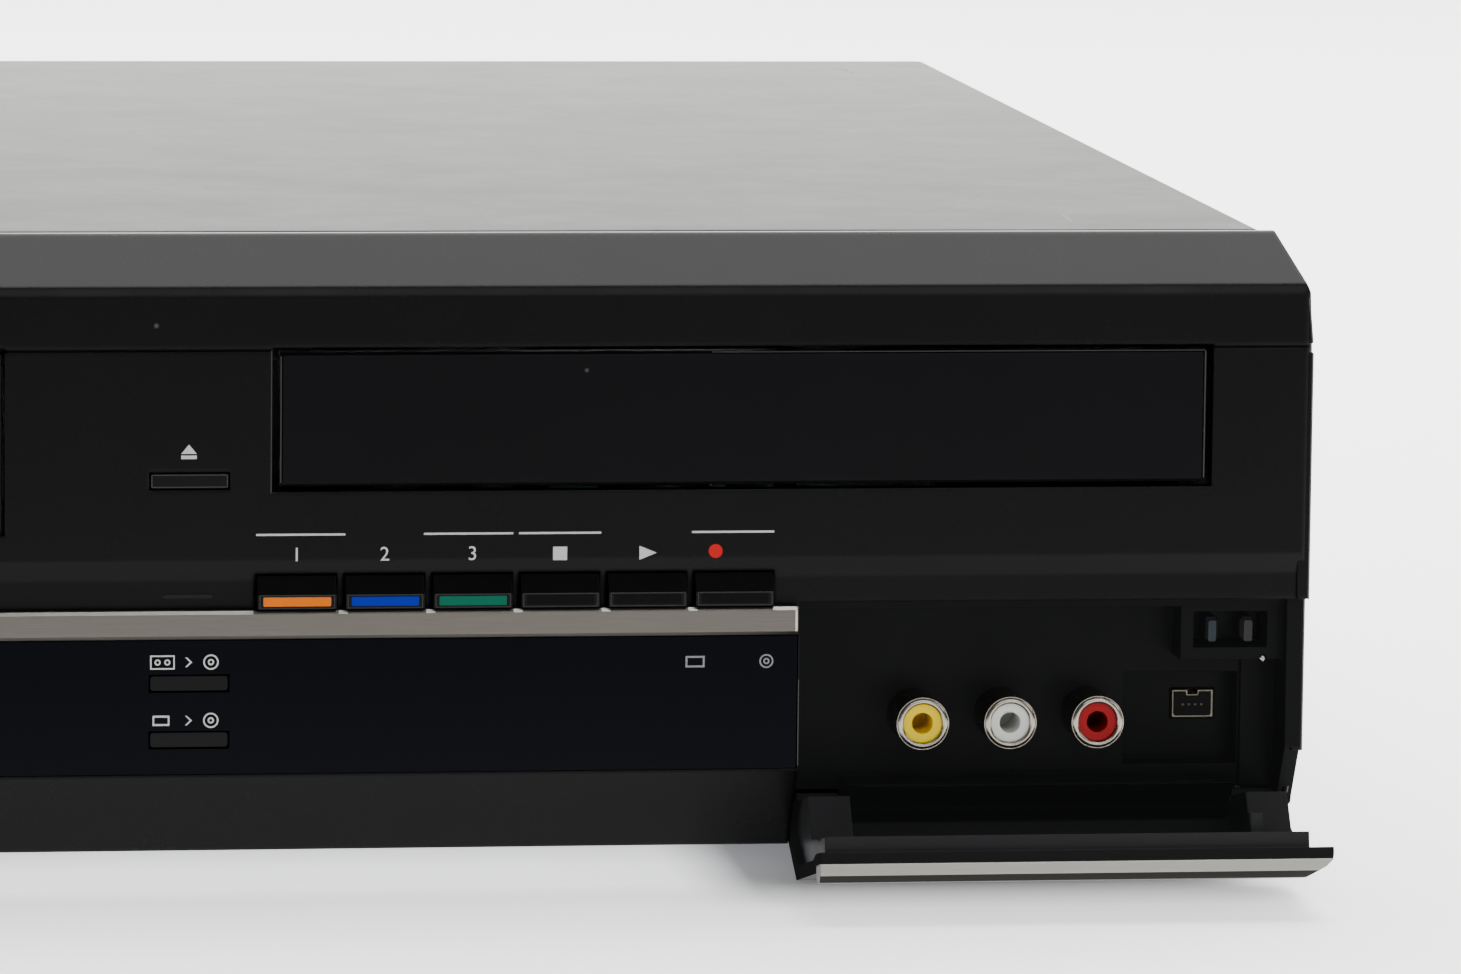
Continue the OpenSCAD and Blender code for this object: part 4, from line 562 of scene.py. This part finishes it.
def triangle(cx, cz, w, h, way=1):
    """Points right, or left where way is -1."""
    return [(cx - way * w / 2, cz - way * h / 2), (cx + way * w / 2, cz),
            (cx - way * w / 2, cz + way * h / 2)]


def pair(cx, way):
    return [triangle(cx + dx, SYMBOL_Z, 1.7, 1.9, way) for dx in (-0.9, 0.9)]


def square(cx, half_w, half_h):
    return rect(cx - half_w, SYMBOL_Z - half_h, cx + half_w, SYMBOL_Z + half_h)


def bracket(x0, x1):
    return rect(x0, LINE_Z - LINE_W / 2, x1, LINE_Z + LINE_W / 2)


def eject(cx, cz):
    return [[(cx - 1.2, cz - 0.3), (cx + 1.2, cz - 0.3), (cx, cz + 1.15)],
            rect(cx - 1.2, cz - 1.1, cx + 1.2, cz - 0.55)]


def box_sign(x0, z0, x1, z1, wx, wz):
    """A rectangle drawn with upright lines wx wide and level lines wz wide."""
    return [rect(x0, z0, x1, z0 + wz), rect(x0, z1 - wz, x1, z1),
            rect(x0, z0 + wz, x0 + wx, z1 - wz), rect(x1 - wx, z0 + wz, x1, z1 - wz)]


def cassette_sign(cx, cz):
    return ([ring(cx + dx, cz, 0.25, 0.48, 16) for dx in (-0.75, 0.75)]
            + box_sign(cx - 1.9, cz - 1.1, cx + 1.9, cz + 1.1, 0.22, 0.22))


def disc_sign(cx, cz, r=1.2):
    return [ring(cx, cz, r - 0.24, r, 28), ring(cx, cz, 0.25, 0.5, 16)]


def arrow(cx, cz):
    return [[(cx - 0.5, cz - 0.75), (cx - 0.2, cz - 0.75), (cx + 0.6, cz), (cx - 0.2, cz + 0.75),
             (cx - 0.5, cz + 0.75), (cx + 0.25, cz)]]


def numeral(number, cx, size=3.1):
    curve = bpy.data.curves.new("numeral_%d" % number, "FONT")
    curve.body = str(number)
    curve.size = size / 1000
    curve.align_x = curve.align_y = "CENTER"
    curve.extrude = 0.00002
    curve.materials.append(M["print"].m)
    ob = add("numeral_%d" % number, curve)
    ob.location = P(cx, -0.01, SYMBOL_Z)
    ob.rotation_euler = (math.radians(90), 0, 0)
    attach(ob, "case")


mark("symbol_stop", [square(key_mid[3], 1.1, 1.05)])
mark("symbol_play", [triangle(key_mid[4] + 0.1, SYMBOL_Z, 2.7, 2.2)])
mark("symbol_record", [circle(120.85, SYMBOL_Z + 0.2, 1.1)], "print_red")
mark("symbol_eject_disc", eject(SLIM_X, 71.3))
mark("symbol_eject_tape", eject(LEFT_X, 71.3))
for i in range(3):
    numeral(i + 1, key_mid[i])
mark("bracket_lines", [bracket(*ends) for ends in
                       ((49.3, 63.1), (75.3, 89.2), (90.1, 102.9), (117.1, 130.0))])
mark("symbol_tape_keys", pair(tape_mid[0], -1) + [square(tape_mid[1], 1.0, 1.0)]
     + [triangle(tape_mid[2] + 0.1, SYMBOL_Z, 2.6, 2.0)] + pair(tape_mid[3], 1))
mark("bracket_lines_tape", [bracket(tape_mid[0] - 5.8, tape_mid[3] + 5.8)])
mark("symbol_power", [ring(LEFT_X, 87.6, 1.15, 1.5, 24, a0=125, a1=415),
                      rect(LEFT_X - 0.2, 87.6, LEFT_X + 0.2, 89.5)])
mark("dub_sign_1", cassette_sign(34.9, 38.6) + arrow(SLIM_X, 38.6) + disc_sign(42.4, 38.6))
mark("dub_sign_2", box_sign(33.4, 28.7, 36.0, 30.3, 0.25, 0.3) + arrow(SLIM_X, 29.5)
     + disc_sign(42.4, 29.5))
mark("window_sign_disc", disc_sign(129.0, 38.0, 1.1), "print_dim")
mark("window_sign_store", box_sign(116.3, 37.1, 119.3, 38.9, 0.3, 0.3), "print_dim")


# ---------- key inlays, rims and the lamp lens ----------

def key_front(name, x, colour="inlay"):
    bm = bmesh.new()
    # the rim is a lighter frame round the key's front, a painted highlight on its glossy edge
    rim(bm, x + 0.25, 47.0, x + KEY_W - 0.25, 49.15, 0.16, -1.45, -1.38)
    finish(name + "_rim", bm, "rim", name)
    plates(name + "_inlay", [rounded(x + 0.85, 47.35, x + KEY_W - 0.85, 48.8, 0.2)],
           -1.47, -1.38, colour, name, bevel=0.03)


colours = ["orange", "blue", "green", "inlay", "inlay", "inlay"]
for i, (name, colour) in enumerate(zip(DISC_KEYS, colours)):
    key_front(name, KEY_X + i * KEY_PITCH, colour)
for i, name in enumerate(TAPE_KEYS):
    key_front(name, TAPE_X + i * KEY_PITCH)

# dark heart of the digital socket, notched at the top, with its four contacts
DV_X, DV_Z, DV_Y = 200.22, 27.72, 19.4
heart = [(-3.04, -1.6), (-2.7, -1.95), (2.7, -1.95), (3.04, -1.6), (3.04, 1.95), (1.1, 1.95),
         (0.9, 1.3), (-0.9, 1.3), (-1.1, 1.95), (-3.04, 1.95)]
plates("dv_heart", [[(DV_X + x, DV_Z + z) for x, z in heart]], DV_Y - 0.03, DV_Y + 0.3,
       "bay")
plates("dv_contacts", [rect(x - 0.2, DV_Z - 0.3, x + 0.2, DV_Z)
                       for x in (DV_X - 1.5 + i for i in range(4))],
       DV_Y - 0.05, DV_Y, "dim_metal")

# painted highlights: lighter strips on the edges of the tray lid, its slot and the eject keys,
# where they catch the light
plates("lid_edge", [rect(52.98, 66.4, 53.16, 86.0), rect(197.6, 66.4, 197.82, 86.3),
                    rect(120, 86.38, 197.6, 86.52)], -0.015, 0.3, "edge", "tray")
plates("slot_edge", [rect(51.5, 64.8, 51.66, 86.9)], -0.015, 0.3, "edge")
for name, x in (("disc_eject_button", 33.03), ("tape_eject_button", -205.98)):
    bm = bmesh.new()
    rim(bm, x + 0.12, 65.75, x + 11.88, 67.75, 0.14, 0.17, 0.3)
    finish(name + "_rim", bm, "edge", name)
plates("lamp_lens", [rounded(35.0, 48.4, 42.7, 49.1, 0.3)], 0.75, 0.95, "lens",
       bevel=0.05)

# ---------- jack bay ----------

# rolled mouths of the jacks, as (radius, y from the shell's mouth)
JACK_X, JACK_PITCH, JACK_Z, JACK_Y = 154.4, 13.9, 27.3, 3.6
MOUTH = [(3.06, 0.7), (3.06, 0.02), (3.14, -0.16), (3.34, -0.28), (3.66, -0.26), (3.94, -0.08),
         (4.12, 0.24), (4.19, 0.7)]
for i, name in enumerate(["yellow", "white", "red"]):
    bm = bmesh.new()
    turn(bm, JACK_X + i * JACK_PITCH, JACK_Z, [(r, JACK_Y + y) for r, y in MOUTH])
    finish("jack_mouth_" + name, bm, "nickel", smooth=True)

# faces of the catch's jaws, and the bright rivet under it
for name, x0, x1 in (("jaw_cool", 200.4, 201.7), ("jaw_grey", 206.1, 207.5)):
    plates(name, [rounded(x0, 39.3, x1, 42.7, 0.3, 3)], 7.85, 8.05, name, bevel=0.06)
bm = bmesh.new()
turn(bm, 208.95, 36.8, [(0.02, 6.28), (0.3, 6.3), (0.52, 6.42), (0.6, 6.62), (0.02, 6.62)], 16)
finish("catch_rivet", bm, "nickel", smooth=True)

# painted highlights: lighter strips where edges catch the light, on the bay's lower edge and the
# window's end
bm = bmesh.new()
beam(bm, [(5.98, 17.05), (6.3, 17.28), (6.4, 17.12), (6.08, 16.9)], 144.8, 204.5)
finish("bay_edge", bm, "edge")
plates("window_end", [rect(134.02, 21.5, 134.18, 35.0)], -0.02, 0.5, "edge")
# filler behind the right hinge
plates("hinge_filler", [[(206.9, 12.4), (211.0, 12.4), (211.0, 16.0), (207.4, 16.4)]],
       14.22, 14.39, "bay")

# a dull skin over the flap's left end, which would else mirror the bright table
SKIN_OFF = 0.00004
bm = bmesh.new()
bm.from_mesh(nodes["flap_door"].data)
end_x = min(v.co.x for v in bm.verts)
rest = [f for f in bm.faces
        if f.normal.x > -0.99 or f.calc_center_median().x > end_x + 0.0004]
bmesh.ops.delete(bm, geom=rest, context="FACES")
for v in bm.verts:
    v.co.x -= SKIN_OFF
finish("flap_end", bm, "matt", "flap")

# ---------- ends of the front panel ----------

ROOT_X, END_X, HIGHLIGHT_X = 213.0, 214.97, 214.72  # inner side, outer side, inner side of the line
JOINT_Z, TOP_Z = 85.9, 94.6
# side: name, foot, knee, height of the step over the knee, how far the part below it and the
# foot are set back. Beside the bay they leave room for the closed flap.
ENDS = {1: ("right", (213.7, 15.0), (214.95, 22.5), 47.0, 3.12, 7.9),
        -1: ("left", (214.3, 11.0), (214.95, 20.0), 30.0, 0.0, 0.0)}
for side, (name, foot, knee, step, back, under) in ENDS.items():
    ends = [([(ROOT_X, foot[1]), foot, knee, (ROOT_X, knee[1])], under),
            ([(ROOT_X, knee[1]), knee, (END_X, step), (ROOT_X, step)], back),
            (rect(ROOT_X, step, END_X, JOINT_Z), 0.0),
            ([(ROOT_X, 87.4), (214.9, 87.4), (214.25, TOP_Z), (ROOT_X, TOP_Z)], 0.0)]
    inner_foot, inner_knee = (foot[0] - 0.2, foot[1]), (knee[0] - 0.24, knee[1])
    # the line is a lighter strip along the outermost edge, a painted highlight
    lines = [([inner_foot, foot, knee, inner_knee], under),
             ([inner_knee, knee, (END_X, step), (HIGHLIGHT_X, step)], back),
             (rect(HIGHLIGHT_X, step, END_X + 0.01, JOINT_Z - 0.1), 0.0),
             ([(214.66, 87.5), (214.91, 87.5), (214.26, 94.5), (214.02, 94.5)], 0.0)]
    for piece, shapes, y0, y1, material, bevel in (
            ("panel_end_", ends, 0.35, 3.3, "face", 0.12),
            ("panel_end_highlight_", lines, 0.31, 0.6, "end_line", 0.0)):
        bm = bmesh.new()
        for pts, dy in shapes:
            prism(bm, [(side * x, z) for x, z in pts], y0 + dy, y1 + dy)
        finish(piece + name, bm, material, bevel=bevel)

# painted highlight: a light lip along the panel's joint with the cover, where its rounded edge
# catches the light
bm = bmesh.new()
beam(bm, [(10.1, 103.3), (10.5, 103.72), (11.0, 103.97), (11.7, 104.01), (12.78, 104.01),
          (12.78, 103.8), (11.2, 103.7), (10.3, 103.1)], -210.2, 210.2)
finish("panel_lip", bm, "lip_highlight")

# painted highlights: lighter strips on the accent strip's end, and on its top edge where the keys
# let it show
low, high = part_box("accent_strip")
end, front = high[0] * 1000, low[1] * 1000 - Y_SHIFT
bottom, top = low[2] * 1000, high[2] * 1000
bm = bmesh.new()
prism(bm, rect(end - 0.62, bottom + 0.6, end - 0.3, top - 0.5), front - 0.03, front + 0.1)
gaps = [(end - 4.2, end - 0.3)] + [(end - far, end - far + 1.4)
                                   for far in (17.4, 31.0, 44.7, 58.3, 71.9)] + [(-85, 48.8)]
for x0, x1 in gaps:
    beam(bm, [(front - 0.02, top - 0.48), (front + 0.48, top + 0.03), (front + 0.5, top - 0.04),
              (front + 0.04, top - 0.5)], x0, x1)
finish("strip_glint", bm, "glint", bevel=0.05)

# ---------- light scratches on the cover ----------

SCRATCH_Z = 104.012
# each is an outline: out along one side, and back along the other
SCRATCHES = [
    [(49.1, 100.5), (48.1, 95.1), (47.8, 88.6), (48.1, 84.6),
     (48.2, 85.5), (48.1, 90.0), (48.2, 94.3), (49.1, 99.7)],
    [(171.8, 67.3), (173.0, 70.7), (174.4, 74.3), (174.5, 75.1), (173.3, 72.4), (171.9, 68.1)],
    [(166.7, 56.0), (164.9, 52.4), (163.1, 48.3), (162.9, 46.6), (164.7, 51.0), (166.6, 55.2)],
    [(163.1, 48.4), (162.3, 41.2), (161.5, 30.3), (161.6, 31.0), (162.6, 42.2), (163.4, 49.2)],
    [(130.2, 45.8), (129.5, 38.6), (129.0, 28.3), (129.1, 28.7), (129.7, 39.4), (130.4, 46.3)],
    [(182.9, 45.6), (181.6, 41.2), (180.9, 33.0), (180.8, 26.2),
     (181.1, 27.6), (181.6, 35.5), (182.0, 42.1), (182.8, 44.5)],
    [(186.5, 41.1), (185.7, 35.6), (186.0, 36.4), (186.9, 42.0)],
    [(188.2, 40.9), (187.1, 35.6), (187.2, 34.7), (188.3, 40.1)],
    [(88.0, 40.7), (87.6, 34.8), (87.5, 28.3), (87.6, 28.8), (87.8, 35.6), (88.2, 41.1)],
    [(188.1, 337.8), (189.8, 332.4), (189.8, 321.8), (190.3, 324.3), (190.5, 336.2),
     (188.4, 339.7)],
]
bm = bmesh.new()
for pts in SCRATCHES:
    v = [bm.verts.new(P(x, y, SCRATCH_Z)) for x, y in pts]
    for i in range(len(pts) // 2 - 1):
        bm.faces.new([v[i], v[i + 1], v[-2 - i], v[-1 - i]])
finish("cover_scratches", bm, "scratch")


# ---------- rear and sides ----------

def loose_parts(ob):
    """Lowest and highest corner of each loose part of a mesh, in millimetres from the face."""
    bm = bmesh.new()
    bm.from_mesh(ob.data)
    seen, found = set(), []
    for v in bm.verts:
        if v.index in seen:
            continue
        seen.add(v.index)
        stack, pts = [v], []
        while stack:
            w = stack.pop()
            pts.append((w.co.x * 1000, w.co.y * 1000 - Y_SHIFT, w.co.z * 1000))
            for e in w.link_edges:
                u = e.other_vert(w)
                if u.index not in seen:
                    seen.add(u.index)
                    stack.append(u)
        found.append(([min(c) for c in zip(*pts)], [max(c) for c in zip(*pts)]))
    bm.free()
    return found


# coloured faces in the rear phono jacks, by row. The flat round loose parts on the left half,
# 8.1 to 8.5 mm across, are the jacks' mouths and their inner ends, and each gets a ring.
INSERT = [(1.8, -1.2), (3.45, -1.2), (3.45, -0.35), (3.2, -0.2), (2.1, -0.2), (1.8, -0.5)]
mouths = sorted({(round((a[0] + b[0]) / 2, 1), round((a[2] + b[2]) / 2, 1), round(b[1], 1))
                 for a, b in loose_parts(nodes["rear_jacks"])
                 if 8.1 < b[0] - a[0] < 8.5 and a[0] < 0 and b[1] - a[1] < 0.01})
for row, colour in zip(sorted({z for x, z, y in mouths}), ("red", "white", "yellow")):
    bm = bmesh.new()
    for x, z, y in mouths:
        if z == row:
            turn(bm, x, z, [(r, y + dy) for r, dy in INSERT], 32)
    finish("rear_inserts_" + colour, bm, colour)

# (radius, height) of a pan head's rows, and half the length and width of its cross, over r
HEAD = ((1.0, 0.0), (0.97, 0.22), (0.82, 0.42), (0.58, 0.5))
CROSS_L, CROSS_W, CROSS_H = 0.46, 0.09, 0.506
HEAD_SIDES = 24


def screw(heads, recess_shade, at, u, v, w, r):
    """A pan head with a crossed recess drawn as two dark flat bars, painted shade: u and v span its
    seat, w points out of it.
    """
    c = P(*at)
    u, v, w = (Vector(a) * r / 1000 for a in (u, v, w))
    turns = [2 * math.pi * i / HEAD_SIDES for i in range(HEAD_SIDES)]
    rows = [[heads.verts.new(c + (u * math.cos(t) + v * math.sin(t)) * k + w * h) for t in turns]
            for k, h in HEAD]
    for p, q in zip(rows, rows[1:]):
        for i in range(HEAD_SIDES):
            j = (i + 1) % HEAD_SIDES
            heads.faces.new([p[i], p[j], q[j], q[i]])
    heads.faces.new(rows[-1])
    heads.faces.new(list(reversed(rows[0])))
    for a, b in ((u, v), (v, u)):
        recess_shade.faces.new([recess_shade.verts.new(c + a * i * CROSS_L + b * j * CROSS_W + w * CROSS_H)
                         for i, j in rect(-1, -1, 1, 1)])


def screws(name, places):
    heads, recess_shade = bmesh.new(), bmesh.new()
    for place in places:
        screw(heads, recess_shade, *place)
    finish(name + "_screws", heads, "screw", smooth=True)
    finish(name + "_screw_recess_shade", recess_shade, "socket")


X, Y, Z = (1, 0, 0), (0, 1, 0), (0, 0, 1)
cover_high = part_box("top_cover")[1]
cover_x, cover_end = cover_high[0] * 1000, cover_high[1] * 1000 - Y_SHIFT
screws("cover", [((side * cover_x, y, 17), Y, Z, (side, 0, 0), 3.2)
                 for side in (-1, 1) for y in (70, 300)]
       + [((x, cover_end, 101.2), X, Z, Y, 2.2) for x in (-170, 0, 170)])
foot_places = sorted({(round((a[0] + b[0]) / 2), round((a[1] + b[1]) / 2))
                      for a, b in loose_parts(nodes["feet"])})
screws("foot", [((x, y, 4.0), X, Y, (0, 0, -1), 2.9) for x, y in foot_places])
